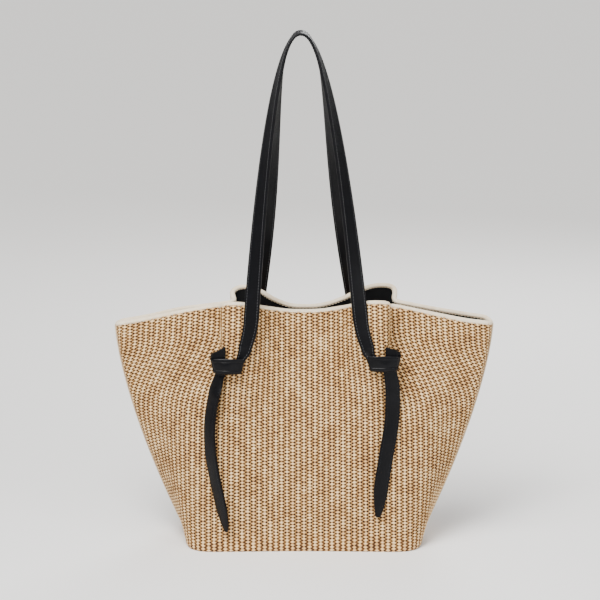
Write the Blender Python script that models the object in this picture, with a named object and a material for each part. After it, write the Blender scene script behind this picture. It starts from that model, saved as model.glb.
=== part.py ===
"""A winged straw beach bag with two long leather straps that are knotted through the wall.

Metres, +Z up, the front towards -Y, the origin on the floor below the middle of the base.
"""

import math

import bmesh
import bpy
import numpy as np
from mathutils import Vector

# ---- driving dimensions ----
BASE_HALF_WIDTH = 0.149
BASE_HALF_DEPTH = 0.073
BASE_BOW = 0.003              # how far the long base edges draw in at their middle
BASE_CORNER = 0.030
MOUTH_HALF_WIDTH = 0.239

PANEL = 0.0020                # woven straw wall
CAVITY = 0.0018               # between straw and lining, where patches and tapes lie
LINING = 0.0008
GAP = 0.0003                  # between pieces that touch
INSERT = CAVITY - 2 * GAP     # patches, seam tapes and snap washers

PIPING_RADIUS = 0.0029
STRAP_WIDTH = 0.020
STRAP_THICK = 0.0032
STRAP_EDGE = 0.0007           # rounding of the strap's edges
APEX_HEIGHT = 0.651
STRAP_PLAY = 0.0007           # between strap and rim, and between the two straps at the top

HINGE_HEIGHT = 0.264          # where a strap starts to swing, above its knot
KNOT_TOP = 0.2485
KNOT_HEIGHT = 0.0185
KNOT_TOP_WIDTH = 0.042
KNOT_FOOT_WIDTH = 0.033
KNOT_CROWN = 0.0035           # how far the middle of the band stands proud of its ends
KNOT_SLACK = 0.0035           # between the cloth and the back of the band
EAR_WIDTH = 0.018
SWING_ROOM = 0.0024           # open space that a strap or tail turns in, at its end
FOLD_ROOM = 0.0068            # height left for a strap to fold out over its knot
BRIDGE_THICK = 0.0026
BRIDGE_FOOT = 0.2405
BRIDGE_TOP = 0.2610
SLOT_CLEARANCE = 0.0013
TAIL_STANDOFF = 0.0012
TAIL_THICK = 0.0030
TAIL_TURN_SHARE = 0.14        # share of its length in which a tail takes up its turn

BOARD = 0.0015
BASE_INSET = 0.0008           # extra room inside the leaning walls for the base panel
BOARD_INSET = 0.0025
SNAP_RADIUS = 0.0075
SNAP_THICK = 0.0028
POCKET_HALF_WIDTH = 0.075

# How the wall goes from the base outline to the rim outline, over the height share t.
WIDTH_POWER = 1.50
DEPTH_POWER = 1.40
PLEAT_START = 0.50
PLEAT_FULL = 0.90

ROWS = (0.0, 0.09, 0.22, 0.37, 0.50, 0.61, 0.71, 0.79, 0.88, 1.0)
PATCH_ROWS = (0.71, 0.79, 0.88)
SNAP_ROWS = (0.88, 1.0)
COLUMNS = (0.0, 0.06, 0.12, 0.18, 0.23, 0.28, 0.325, 0.365, 0.40, 0.43, 0.46, 0.49, 0.52,
           0.56, 0.62, 0.70, 0.78, 0.86, 0.925, 0.965, 1.0)
PATCH_COLUMNS = (0.23, 0.28, 0.325, 0.365, 0.40, 0.43, 0.46, 0.49, 0.52, 0.56)
TAPE_COLUMNS = (0.925, 0.965, 1.0)

FRONT, BACK, LEFT, RIGHT = -1, 1, -1, 1
SIDE_NAMES = {FRONT: "front", BACK: "back"}
HAND_NAMES = {LEFT: "left", RIGHT: "right"}
SEAM_SHIFT = {LEFT: 0.0, RIGHT: 0.004}     # how far a side seam lies forward of the middle

# One entry for each quarter of the wall: where its pleat turns back, how far the pleat stands
# out, how thin the bag is beside it and along the wing, and the rim's heights.
QUARTERS = {
    (FRONT, LEFT): dict(fold=0.101, curl=0.004, pleat=0.049, waist=0.012, wing=0.0095,
                        dip=0.3015, top=0.3185, crease=0.3095, wing_mid=0.299, tip=0.2835),
    (FRONT, RIGHT): dict(fold=0.105, curl=0.003, pleat=0.050, waist=0.013, wing=0.020,
                         dip=0.3015, top=0.3205, crease=0.3095, wing_mid=0.2985, tip=0.2860),
    (BACK, LEFT): dict(fold=0.088, curl=0.006, pleat=0.048, waist=0.011, wing=0.0095,
                       dip=0.3040, top=0.3215, crease=0.3095, wing_mid=0.301, tip=0.2835),
    (BACK, RIGHT): dict(fold=0.115, curl=0.004, pleat=0.049, waist=0.012, wing=0.021,
                        dip=0.3040, top=0.3235, crease=0.3095, wing_mid=0.2985, tip=0.2860),
}
RIM_DEPTH = {FRONT: 0.0130, BACK: 0.0115}  # at the middle of the mouth
STRAP_HALF_SPAN = {FRONT: 0.071, BACK: 0.068}
STRAP_BOW = {FRONT: 0.0, BACK: 0.009}      # how far a strap's legs draw together half-way up
STRAP_SWAY = {"foot": 0.003, "top": -0.004}
STRAP_HOOK = 0.005                         # how far a leg turns out towards its slot
STRAP_FOOT_WIDTH = 0.017
HOOK_RISE = 0.036
ARCH_POWER = 2.2
STRAP_CROWDING = 1.35                      # crowds a strap's sections towards its tight top
SLOT_BEFORE_FOLD = 0.022                   # inner slot, measured from where the pleat turns back
SLOT_BEHIND_CREST = 0.016                  # outer slot, in the pleat's side
BAND_BEFORE_FOLD = 0.005                   # middle of the knot's band
STRAP_TURN_FOOT = math.radians(12)         # how far the strap's face turns outwards at its foot
STRAP_TURN_RISE = math.radians(66)
STRAP_TURN_TOP = math.radians(12)

# How far above KNOT_TOP each knot is tied.
KNOT_LIFT = {(FRONT, LEFT): 0.0010, (FRONT, RIGHT): 0.0045, (BACK, LEFT): 0.0035,
             (BACK, RIGHT): 0.0010}

# Each tail's middle line below its knot: share of the drop, distance from the bag's middle.
TAILS = {
    (FRONT, LEFT): dict(foot=0.030, turn=math.radians(46), taper=0.030,
                        line=((0, 0.105), (0.15, 0.113), (0.32, 0.118), (0.50, 0.117),
                              (0.68, 0.111), (0.84, 0.104), (1, 0.097))),
    (FRONT, RIGHT): dict(foot=0.047, turn=math.radians(14), taper=0.034,
                         line=((0, 0.108), (0.15, 0.111), (0.35, 0.110), (0.55, 0.104),
                               (0.75, 0.098), (0.90, 0.095), (1, 0.093))),
    (BACK, LEFT): dict(foot=0.044, turn=math.radians(16), taper=0.034,
                       line=((0, 0.095), (0.2, 0.098), (0.4, 0.097), (0.6, 0.094),
                             (0.8, 0.090), (1, 0.087))),
    (BACK, RIGHT): dict(foot=0.036, turn=math.radians(50), taper=0.034,
                        line=((0, 0.096), (0.2, 0.101), (0.4, 0.103), (0.6, 0.100),
                              (0.8, 0.095), (1, 0.091))),
}


# ---- curves ----
def through(points, samples=14, mirrored=False):
    """A smooth open curve through the points; mirrored, it starts level, as half of a whole."""
    pts = np.asarray(points, float)
    before = 2 * pts[0] - pts[1]
    if mirrored:
        before = np.concatenate([-pts[1, :1], pts[1, 1:]])
    ends = np.vstack([before, pts, 2 * pts[-1] - pts[-2]])
    run = []
    for a, b, c, d in zip(ends, ends[1:], ends[2:], ends[3:]):
        for u in np.arange(samples) / samples:
            run.append(0.5 * (2 * b + (c - a) * u + (2 * a - 5 * b + 4 * c - d) * u ** 2
                              + (3 * b - 3 * c + d - a) * u ** 3))
    return np.vstack([run, pts[-1]])


def at_shares(run, shares, dims=2):
    """The points at these shares of the curve's length, which its first dims columns set."""
    steps = np.linalg.norm(np.diff(run[:, :dims], axis=0), axis=1)
    along = np.concatenate([[0], np.cumsum(steps)])
    wanted = np.asarray(shares) * along[-1]
    return np.stack([np.interp(wanted, along, column) for column in run.T], axis=-1)


def smoothstep(x):
    x = np.clip(x, 0, 1)
    return x * x * (3 - 2 * x)


# ---- the wall ----
def seam_depth(side, hand):
    return -side * SEAM_SHIFT[hand] + GAP / 2


def base_outline(side, hand):
    """A quarter of the base, from the middle of its long edge to the side seam."""
    corner = BASE_HALF_WIDTH - BASE_CORNER
    edge = [(x * corner, BASE_HALF_DEPTH - BASE_BOW * math.cos(math.pi / 2 * x) ** 2)
            for x in (0, 0.3, 0.6, 0.85)]
    arc = [(corner + BASE_CORNER * math.sin(a), BASE_HALF_DEPTH - BASE_CORNER * (1 - math.cos(a)))
           for a in np.linspace(0, math.pi / 2, 5)]
    seam = seam_depth(side, hand)
    return edge + arc + [(BASE_HALF_WIDTH, (arc[-1][1] + seam) / 2), (BASE_HALF_WIDTH, seam)]


def wing_outline(side, hand, start):
    """The rim from beside the pleat to the side seam: distance out, depth, height."""
    q = QUARTERS[side, hand]
    tip, wing = MOUTH_HALF_WIDTH, q["wing"]
    reach = tip - start
    nose = min(wing, 0.008)
    run = [(start, q["waist"], q["crease"] - 0.002),
           (start + 0.38 * reach, (q["waist"] + wing) / 2, q["wing_mid"]),
           (start + 0.70 * reach, wing, 0.45 * q["wing_mid"] + 0.55 * q["tip"]),
           (tip - nose, 0.92 * wing, q["tip"] + 0.002),
           (tip - 0.3 * nose, 0.62 * wing, q["tip"] + 0.0005),
           (tip, max(0.0, seam_depth(side, hand)) + 0.25 * nose, q["tip"])]
    return run + [(tip, seam_depth(side, hand), q["tip"])]


def rim_outline(side, hand):
    """A quarter of the rim with its pleat, from the middle of the mouth to the side seam."""
    q = QUARTERS[side, hand]
    fold, curl, pleat, waist = q["fold"], q["curl"], q["pleat"], q["waist"]
    middle, rise = RIM_DEPTH[side], q["top"] - q["dip"]
    crest = [(0, middle, q["dip"]),
             (0.20 * fold, middle + 0.04 * pleat, q["dip"] + 0.06 * rise),
             (0.42 * fold, 0.50 * pleat, q["dip"] + 0.36 * rise),
             (0.59 * fold, 0.79 * pleat, q["dip"] + 0.72 * rise),
             (0.76 * fold, 0.955 * pleat, q["dip"] + 0.96 * rise),
             (0.90 * fold, pleat, q["top"]),
             (fold, 0.935 * pleat, q["top"] - 0.0015),
             (fold + curl, 0.74 * pleat, q["top"] - 0.005),
             (fold + 0.7 * curl, 0.50 * pleat, q["crease"] + 0.002),
             (fold + 0.004, waist + 0.006, q["crease"])]
    return crest + wing_outline(side, hand, fold + 0.014)


def slack_outline(side, hand):
    """The quarter that the rim would follow without its pleat."""
    fold, pleat, waist = (QUARTERS[side, hand][key] for key in ("fold", "pleat", "waist"))
    crest = [(0, RIM_DEPTH[side] + 0.004, 0),
             (0.45 * fold, 0.42 * pleat, 0),
             (0.90 * fold, 0.62 * pleat, 0),
             (1.22 * fold, 0.40 * pleat + 0.5 * waist, 0)]
    return crest + wing_outline(side, hand, 1.62 * fold)[1:]


CURVES = {(key, make.__name__): through(make(*key), mirrored=True)
          for key in QUARTERS for make in (base_outline, rim_outline, slack_outline)}


def wall(side, hand, share, t):
    """Outer surface of the wall, at a share of the way from the middle to the seam."""
    share, t = np.broadcast_arrays(np.asarray(share, float), np.asarray(t, float))
    base, rim, slack = (at_shares(CURVES[(side, hand), name], share)
                        for name in ("base_outline", "rim_outline", "slack_outline"))
    wide = 1 - (1 - np.clip(t, 0, 1)) ** WIDTH_POWER
    deep = np.clip(t, 0, 1) ** DEPTH_POWER
    pleated = smoothstep((t - PLEAT_START) / (PLEAT_FULL - PLEAT_START))
    x = base[..., 0] + (slack[..., 0] - base[..., 0]) * wide
    x = x + (rim[..., 0] - slack[..., 0]) * pleated
    depth = base[..., 1] + (slack[..., 1] - base[..., 1]) * deep
    depth = depth + (rim[..., 1] - slack[..., 1]) * pleated
    return np.stack([hand * x, side * depth, t * rim[..., 2]], axis=-1)


def outward(side, hand, share, t):
    """The wall's outward direction in plan, level, with unit length."""
    step = 0.004
    low, high = np.clip(share - step, 0, 1), np.clip(share + step, 0, 1)
    across = wall(side, hand, high, t) - wall(side, hand, low, t)
    normal = np.stack([across[..., 1], -across[..., 0], 0 * across[..., 0]], axis=-1) * -side * hand
    normal[..., 0] = np.where(share <= 0, 0, normal[..., 0])
    normal = np.where((share >= 1)[..., None], np.array([hand, 0.0, 0.0]), normal)
    return normal / np.linalg.norm(normal, axis=-1, keepdims=True)


def layer(side, hand, columns, rows, depth):
    """A grid of points this far inside the wall's outer surface, rows first."""
    share, t = np.meshgrid(np.asarray(columns, float), np.asarray(rows, float))
    return wall(side, hand, share, t) - depth * outward(side, hand, share, t)


def under_piping(rows, columns, side, hand):
    """Each row's height share in each column, so that the top row ends below the piping."""
    rim = wall(side, hand, np.asarray(columns, float), 1.0)[:, 2]
    return np.outer(rows, 1 - (2 * PIPING_RADIUS + GAP) / rim)


def sheet(side, hand, columns, rows, depth):
    """A layer that ends below the piping."""
    share = np.broadcast_to(np.asarray(columns, float), (len(rows), len(columns)))
    t = under_piping(rows, columns, side, hand)
    return wall(side, hand, share, t) - depth * outward(side, hand, share, t)


def section(side, hand, z):
    """The pleated part of the wall's outline at this height, and the place of its crest."""
    share = np.linspace(0, 0.62, 320)
    rim = wall(side, hand, share, 1.0)[:, 2]
    points = np.abs(wall(side, hand, share, z / rim)[:, :2])
    return points, int(np.argmax(points[:, 1]))


def depth_near(side, hand, x, z, reach):
    """The most that the outer wall stands from the middle plane, near x at this height."""
    points, _ = section(side, hand, z)
    return float(points[np.abs(points[:, 0] - x) <= reach, 1].max())


def depth_ahead(side, hand, x, z):
    """Depth of the wall's forward face at this x and height."""
    points, crest = section(side, hand, z)
    return float(np.interp(x, points[:crest + 1, 0], points[:crest + 1, 1]))


def pleat_side(side, hand, depth, z):
    """Distance out of the pleat's side at this depth and height."""
    points, crest = section(side, hand, z)
    beyond = points[crest:]
    return float(beyond[int(np.argmax(beyond[:, 1] < depth)), 0])


# ---- meshes and materials ----
def clear_scene():
    for obj in list(bpy.data.objects):
        bpy.data.objects.remove(obj)


def material(name, colour, roughness, metallic=0.0):
    made = bpy.data.materials.new(name)
    made.use_nodes = True
    shader = made.node_tree.nodes["Principled BSDF"]
    shader.inputs["Base Color"].default_value = (*colour, 1)
    shader.inputs["Roughness"].default_value = roughness
    shader.inputs["Metallic"].default_value = metallic
    return made


def add_object(name, points, faces, look, smooth=True):
    mesh = bpy.data.meshes.new(name)
    mesh.from_pydata([tuple(map(float, p)) for p in points], [], faces)
    shape = bmesh.new()
    shape.from_mesh(mesh)
    bmesh.ops.recalc_face_normals(shape, faces=shape.faces)
    shape.to_mesh(mesh)
    shape.free()
    if look:
        mesh.materials.append(look)
    if smooth:
        mesh.shade_smooth()
        mesh.set_sharp_from_angle(angle=math.radians(35))
    obj = bpy.data.objects.new(name, mesh)
    bpy.context.scene.collection.objects.link(obj)
    return obj


def put_origin(obj, place):
    """Moves an object's origin, and leaves its shape where it is."""
    place = Vector(place)
    for vertex in obj.data.vertices:
        vertex.co -= place
    obj.location = place


def boolean(obj, other, operation, solver="EXACT"):
    change = obj.modifiers.new(operation.lower(), "BOOLEAN")
    change.operation = operation
    change.solver = solver
    change.object = other
    other.hide_render = True
    other.display_type = "WIRE"


def shell(name, outer, inner, look, turned=()):
    """A closed sheet between two grids of points, split on the same diagonals in both.

    The diagonals rise to the right of the grid, or to the left in the turned columns.
    """
    rows, columns = outer.shape[:2]
    points = np.concatenate([outer.reshape(-1, 3), inner.reshape(-1, 3)])
    back = rows * columns
    faces = []
    for r in range(rows - 1):
        for c in range(columns - 1):
            a, b = r * columns + c, r * columns + c + 1
            d, e = a + columns, b + columns
            halves = ((a, b, d), (b, e, d)) if c in turned else ((a, b, e), (a, e, d))
            for half in halves:
                faces += [half, [i + back for i in reversed(half)]]
    last = (rows - 1) * columns
    border = list(range(columns)) + [r * columns + columns - 1 for r in range(1, rows)]
    border += list(range(last + columns - 2, last - 1, -1))
    border += [r * columns for r in range(rows - 2, 0, -1)]
    for a, b in zip(border, border[1:] + border[:1]):
        faces.append([b, a, a + back, b + back])
    return add_object(name, points, faces, look)


def plate(name, outline, low, high, look):
    """A flat plate with this outline, between two heights."""
    count = len(outline)
    points = [(x, y, z) for z in (low, high) for x, y in outline]
    faces = [list(range(count))[::-1], list(range(count, 2 * count))]
    faces += [[i, (i + 1) % count, (i + 1) % count + count, i + count] for i in range(count)]
    return add_object(name, points, faces, look, smooth=False)


def sweep(name, sections, look, closed=False):
    """Joins rings of points, in order, and caps the ends of an open run."""
    sides, count = len(sections[0]), len(sections)
    points = [p for ring in sections for p in ring]
    faces = []
    for k in range(count if closed else count - 1):
        a, b = k * sides, (k + 1) % count * sides
        faces += [[a + i, a + (i + 1) % sides, b + (i + 1) % sides, b + i] for i in range(sides)]
    if not closed:
        faces += [list(range(sides))[::-1], list(range((count - 1) * sides, count * sides))]
    return add_object(name, points, faces, look)


def strap_ring(centre, across, through_it, width, thick):
    """A strap's section: a flat rectangle with small chamfers on its long edges."""
    edge = min(STRAP_EDGE, 0.3 * width)
    half, deep = width / 2, thick / 2
    corners = ((-half, deep - edge), (-half + edge, deep), (half - edge, deep), (half, deep - edge),
               (half, edge - deep), (half - edge, -deep), (-half + edge, -deep), (-half, edge - deep))
    return [centre + across * a + through_it * b for a, b in corners]


def ribbon(name, centres, acrosses, widths, thick, look, level_ends=False):
    """A strap along the centres, with its width along the acrosses."""
    centres = np.asarray(centres, float)
    tangents = np.gradient(centres, axis=0)
    if level_ends:
        tangents[[0, -1], :2] = 0
    rings = []
    for centre, tangent, across, width in zip(centres, tangents, acrosses, widths):
        tangent = tangent / np.linalg.norm(tangent)
        across = np.asarray(across, float) - np.dot(across, tangent) * tangent
        across = across / np.linalg.norm(across)
        rings.append(strap_ring(centre, across, np.cross(tangent, across), width, thick))
    return sweep(name, rings, look)


# ---- the bag ----
def both_hands(side, columns, rows, depth):
    """A sheet of one whole panel, from the left seam to the right seam."""
    left = sheet(side, LEFT, columns[::-1], rows, depth)
    right = sheet(side, RIGHT, columns, rows, depth)
    return np.concatenate([left, right[:, 1:]], axis=1)


def build_panel(side, straw):
    layers = [both_hands(side, COLUMNS, ROWS, depth) for depth in (0, PANEL)]
    return shell(f"{SIDE_NAMES[side]}_panel", *layers, straw)


def build_lining(side, cloth):
    layers = [both_hands(side, COLUMNS, ROWS, depth)
              for depth in (PANEL + CAVITY, PANEL + CAVITY + LINING)]
    for grid in layers:
        grid[0, :, 2] = PANEL + GAP
    return shell(f"lining_{SIDE_NAMES[side]}", *layers, cloth)


def build_patch(side, hand, cloth):
    """The stiffener behind one pair of slots, between straw and lining."""
    layers = [sheet(side, hand, PATCH_COLUMNS[::hand], PATCH_ROWS, depth)
              for depth in (PANEL + GAP, PANEL + GAP + INSERT)]
    return shell(f"slot_patch_{SIDE_NAMES[side]}_{HAND_NAMES[hand]}", *layers, cloth)


def build_seam_tape(hand, cloth):
    """The tape that joins the two panels inside a side seam."""
    layers = []
    for depth in (PANEL + GAP, PANEL + GAP + INSERT):
        front = sheet(FRONT, hand, TAPE_COLUMNS, ROWS[1:], depth)
        back = sheet(BACK, hand, TAPE_COLUMNS[::-1], ROWS[1:], depth)
        middle = (front[:, -1:] + back[:, :1]) / 2
        layers.append(np.concatenate([front[:, :-1], middle, back[:, 1:]], axis=1))
    turned = (2, 3) if hand == RIGHT else (0, 1)
    return shell(f"side_seam_tape_{HAND_NAMES[hand]}", *layers, cloth, turned)


def base_plate_outline(inset):
    """The closed outline of a plate that lies inside the foot of the wall."""
    order = ((FRONT, LEFT, -1), (FRONT, RIGHT, 1), (BACK, RIGHT, -1), (BACK, LEFT, 1))
    outline = []
    for side, hand, way in order:
        points = layer(side, hand, COLUMNS[:-1][::way], (0.0,), inset)[0][:, :2]
        outline += [tuple(p) for p in (points if way < 0 else points[1:])]
    return outline


def build_base(straw, board, cloth):
    top = PANEL
    plate("base_panel", base_plate_outline(PANEL + GAP + BASE_INSET), 0, top, straw)
    wall_stack = PANEL + CAVITY + LINING
    board_foot = top + GAP
    board_top = board_foot + BOARD
    plate("base_board", base_plate_outline(wall_stack + BOARD_INSET), board_foot, board_top, board)
    lining_foot = board_top + GAP
    plate("lining_base", base_plate_outline(wall_stack + BOARD_INSET / 2), lining_foot,
          lining_foot + LINING, cloth)


def rim_path():
    """The middle line of the piping, once round the mouth."""
    order = ((FRONT, LEFT, -1), (FRONT, RIGHT, 1), (BACK, RIGHT, -1), (BACK, LEFT, 1))
    inset = (PANEL + CAVITY + LINING) / 2
    path = []
    for side, hand, way in order:
        columns = np.asarray(COLUMNS[:-1][::way])
        run = layer(side, hand, columns, (1.0,), inset)[0]
        run[:, 2] = wall(side, hand, columns, np.ones(len(columns)))[:, 2] - PIPING_RADIUS
        path.append(run if way < 0 else run[1:])
    return np.concatenate(path)


def build_piping(cotton, sides=7):
    path = rim_path()
    ahead = np.roll(path, -1, axis=0) - np.roll(path, 1, axis=0)
    rings = []
    for centre, tangent in zip(path, ahead):
        level = np.cross(tangent, (0, 0, 1.0))
        level = level / np.linalg.norm(level)
        upright = np.cross(level, tangent / np.linalg.norm(tangent))
        turn = [2 * math.pi * k / sides for k in range(sides)]
        rings.append([centre + PIPING_RADIUS * (math.cos(a) * level + math.sin(a) * upright)
                      for a in turn])
    return sweep("rim_piping", rings, cotton, closed=True)


def build_pocket(cloth):
    """An open pouch sewn on the back lining."""
    columns = COLUMNS[:6]
    stack = PANEL + CAVITY + LINING + GAP
    layers = [both_hands(BACK, columns, ROWS[3:7], depth) for depth in (stack, stack + LINING)]
    return shell("slip_pocket", *layers, cloth)


def disc(name, centre, axis, radius, thick, look, segments=20):
    shape = bmesh.new()
    bmesh.ops.create_cone(shape, cap_ends=True, segments=segments, radius1=radius, radius2=radius,
                          depth=thick)
    mesh = bpy.data.meshes.new(name)
    shape.to_mesh(mesh)
    shape.free()
    mesh.materials.append(look)
    mesh.shade_smooth()
    mesh.set_sharp_from_angle(angle=math.radians(35))
    obj = bpy.data.objects.new(name, mesh)
    obj.rotation_euler = axis.to_track_quat("Z", "Y").to_euler()
    obj.location = centre
    bpy.context.scene.collection.objects.link(obj)
    return obj


def build_snap(side, metal, cloth):
    """Half of the magnetic snap inside the mouth, and the stiffener between straw and lining."""
    low, high = sheet(side, RIGHT, (0.0,), SNAP_ROWS, PANEL + CAVITY + LINING)[:, 0]
    slope = Vector(high - low).normalized()
    normal = Vector((0, side * slope.z, -side * slope.y))
    centre = Vector((low + high) / 2) - normal * (GAP + SNAP_THICK / 2)
    kind = "snap_socket" if side == FRONT else "snap_stud"
    disc(kind, centre, normal, SNAP_RADIUS, SNAP_THICK, metal)
    layers = [both_hands(side, COLUMNS[:2], SNAP_ROWS, depth)
              for depth in (PANEL + GAP, PANEL + GAP + INSERT)]
    shell(f"{kind}_stiffener", *layers, cloth)


# ---- straps, knots and tails ----
def strap_sway(rise):
    return STRAP_SWAY["foot"] + (STRAP_SWAY["top"] - STRAP_SWAY["foot"]) * rise


def strap_depth(side, z):
    """Distance of the strap's middle line from the bag's middle plane."""
    half = STRAP_THICK / 2
    top = STRAP_WIDTH / 2 + STRAP_PLAY
    rim = max(q["top"] for q in QUARTERS.values())
    lie = STRAP_WIDTH / 2 * math.sin(STRAP_TURN_FOOT) + half + STRAP_PLAY
    span = STRAP_HALF_SPAN[side]
    reach = STRAP_WIDTH / 2 + 0.004
    foot = max(depth_near(side, hand, span, HINGE_HEIGHT, reach) for hand in (LEFT, RIGHT)) + lie
    crest = max(depth_near(side, hand, span, rim - 0.004, reach) for hand in (LEFT, RIGHT))
    crest = crest - (PANEL + CAVITY + LINING) / 2 + PIPING_RADIUS + lie + STRAP_PLAY
    return float(np.interp(z, (HINGE_HEIGHT, rim, APEX_HEIGHT), (foot, crest, top)))


def strap_line(side):
    """The strap's middle line and how far up the arch each point is."""
    span, tall = STRAP_HALF_SPAN[side], APEX_HEIGHT - STRAP_THICK / 2 - HINGE_HEIGHT
    out = np.sin(np.linspace(-math.pi / 2, math.pi / 2, 401))
    out = np.sign(out) * np.abs(out) ** 0.75
    rise = 1 - np.abs(out) ** ARCH_POWER
    drawn = STRAP_BOW[side] * np.sin(math.pi * np.clip(rise / 0.87, 0, 1))
    hook = STRAP_HOOK * np.clip(1 - rise * tall / HOOK_RISE, 0, 1) ** 2
    x = out * span - np.sign(out) * (drawn - hook)
    run = np.stack([x + strap_sway(rise), HINGE_HEIGHT + tall * rise, rise, out], axis=-1)
    along = np.linspace(-1, 1, 45)
    return at_shares(run, 0.5 + 0.5 * np.sign(along) * np.abs(along) ** STRAP_CROWDING)


def build_strap(side, leather):
    """The long arch of one strap, from the slot on the left to the slot on the right."""
    centres, acrosses, widths = [], [], []
    for x, z, rise, out in strap_line(side):
        turn = STRAP_TURN_FOOT + STRAP_TURN_RISE * rise + STRAP_TURN_TOP * rise ** 8
        centres.append((x, side * strap_depth(side, z), z))
        acrosses.append((-math.cos(turn) * (1 if out > 0 else -1), side * math.sin(turn), 0))
        narrow = max(0.0, 1 - (z - HINGE_HEIGHT) / HOOK_RISE)
        widths.append(STRAP_WIDTH + (STRAP_FOOT_WIDTH - STRAP_WIDTH) * narrow)
    name = f"{SIDE_NAMES[side]}_strap"
    obj = ribbon(name, centres, acrosses, widths, STRAP_THICK, leather, level_ends=True)
    put_origin(obj, (0, side * strap_depth(side, HINGE_HEIGHT), HINGE_HEIGHT))
    return obj


class Knot:
    """The places that one knot's parts share."""

    def __init__(self, side, hand):
        fold = QUARTERS[side, hand]["fold"]
        self.side, self.hand = side, hand
        self.inner = fold - SLOT_BEFORE_FOLD
        self.middle = fold - BAND_BEFORE_FOLD
        lift = KNOT_LIFT[side, hand]
        self.top, self.low = KNOT_TOP + lift, KNOT_TOP + lift - KNOT_HEIGHT
        self.slot_low = BRIDGE_FOOT + lift
        self.heights = (self.low, self.top, BRIDGE_TOP)
        reach = KNOT_TOP_WIDTH / 2 + 0.004
        self.cloth = max(depth_near(side, hand, self.middle, z, reach) for z in self.heights)
        self.back = self.cloth + KNOT_SLACK
        self.bridge = self.cloth - SLOT_BEHIND_CREST
        sides = [pleat_side(side, hand, self.bridge, z) for z in self.heights]
        self.least_side, self.most_side = min(sides), max(sides)
        self.foot = strap_line(side)[-1 if hand > 0 else 0][0] * hand

    def place(self, x, depth, z):
        return (self.hand * x, self.side * depth, z)


def knot_band(knot, leather):
    """The part of a knot that lies across the front of the pleat."""
    thick = 1.25 * STRAP_THICK
    rings = []
    for u in np.linspace(-1, 1, 9):
        depth = knot.back + thick / 2 + KNOT_CROWN * (1 - u ** 2)
        top = np.array(knot.place(knot.middle + u * KNOT_TOP_WIDTH / 2, depth, knot.top))
        foot = np.array(knot.place(knot.middle + u * KNOT_FOOT_WIDTH / 2, depth, knot.low))
        height = float(np.linalg.norm(top - foot))
        out = np.array([knot.hand * 0.35 * u, knot.side, 0]) / math.hypot(0.35 * u, 1)
        rings.append(strap_ring((top + foot) / 2, (top - foot) / height, out, height, thick))
    return sweep(f"knot_{SIDE_NAMES[knot.side]}_{HAND_NAMES[knot.hand]}", rings, leather)


def knot_bridge(knot, leather):
    """The run that goes in through one slot, behind the pleat, and out through its side."""
    front, back = knot.back + STRAP_THICK / 2, knot.bridge
    out = knot.most_side + 0.006
    run = [(knot.inner, front), (knot.inner, back + 0.004), (knot.inner + 0.0012, back + 0.0012),
           (knot.inner + 0.004, back), (knot.most_side, back), (out - 0.0025, back + 0.0008),
           (out, back + 0.004), (out, front)]
    middle, height = (knot.slot_low + BRIDGE_TOP) / 2, BRIDGE_TOP - knot.slot_low
    centres = [knot.place(x, y, middle) for x, y in run]
    return ribbon("bridge", centres, [(0, 0, 1)] * len(run), [height] * len(run), BRIDGE_THICK,
                  leather)


def knot_flap(name, knot, outline, lift, leather):
    """A flat piece of strap in front of the pleat, this far in front of the band's back."""
    points = [knot.place(x, knot.back + lift + y, z) for y in (0, STRAP_THICK) for x, z in outline]
    count = len(outline)
    faces = [list(range(count)), list(range(count, 2 * count))[::-1]]
    faces += [[i, (i + 1) % count, (i + 1) % count + count, i + count] for i in range(count)]
    return add_object(name, points, faces, leather, smooth=False)


def knot_entry(knot, leather):
    """The strap's last stretch, from below its hinge to behind the band."""
    top, low = HINGE_HEIGHT - FOLD_ROOM, knot.top - 0.008
    wide, narrow = 0.4 * STRAP_WIDTH, 0.25 * STRAP_WIDTH
    outline = ((knot.foot - wide, top), (knot.foot + wide, top), (knot.inner + narrow, low),
               (knot.inner - narrow, low))
    return knot_flap("entry", knot, outline, 0.0001, leather)


def knot_ear(knot, leather):
    """The turned corner that stands above the band, where the strap comes round the pleat."""
    far, low = knot.middle + KNOT_TOP_WIDTH / 2 - 0.001, knot.top - 0.006
    near = far - EAR_WIDTH
    outline = ((near, low), (near, BRIDGE_TOP + 0.003), (far, knot.top + 0.003), (far - 0.002, low))
    return knot_flap("ear", knot, outline, 0.0003, leather)


def slot_cutter(knot):
    """The two slots of one knot, as a pair of boxes."""
    half = BRIDGE_THICK / 2 + SLOT_CLEARANCE
    stack = PANEL + CAVITY + LINING
    ahead = [depth_ahead(knot.side, knot.hand, knot.inner, z) for z in knot.heights]
    boxes = (((knot.inner - half, knot.inner + half), (min(ahead) - stack - 0.003, knot.cloth + 0.008)),
             ((knot.least_side - stack - 0.004, knot.most_side + 0.004),
              (knot.bridge - half, knot.bridge + half)))
    heights = (knot.slot_low - SLOT_CLEARANCE, BRIDGE_TOP + SLOT_CLEARANCE)
    quads = ((0, 1, 3, 2), (4, 6, 7, 5), (0, 4, 5, 1), (2, 3, 7, 6), (0, 2, 6, 4), (1, 5, 7, 3))
    points, faces = [], []
    for outs, depths in boxes:
        faces += [[len(points) + i for i in quad] for quad in quads]
        points += [knot.place(x, y, z) for x in outs for y in depths for z in heights]
    name = f"slots_{SIDE_NAMES[knot.side]}_{HAND_NAMES[knot.hand]}"
    return add_object(name, points, faces, None, smooth=False)


def build_knot(knot, leather):
    band = knot_band(knot, leather)
    for make in (knot_bridge, knot_entry, knot_ear):
        boolean(band, make(knot, leather), "UNION", solver="MANIFOLD")
    return band


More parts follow.
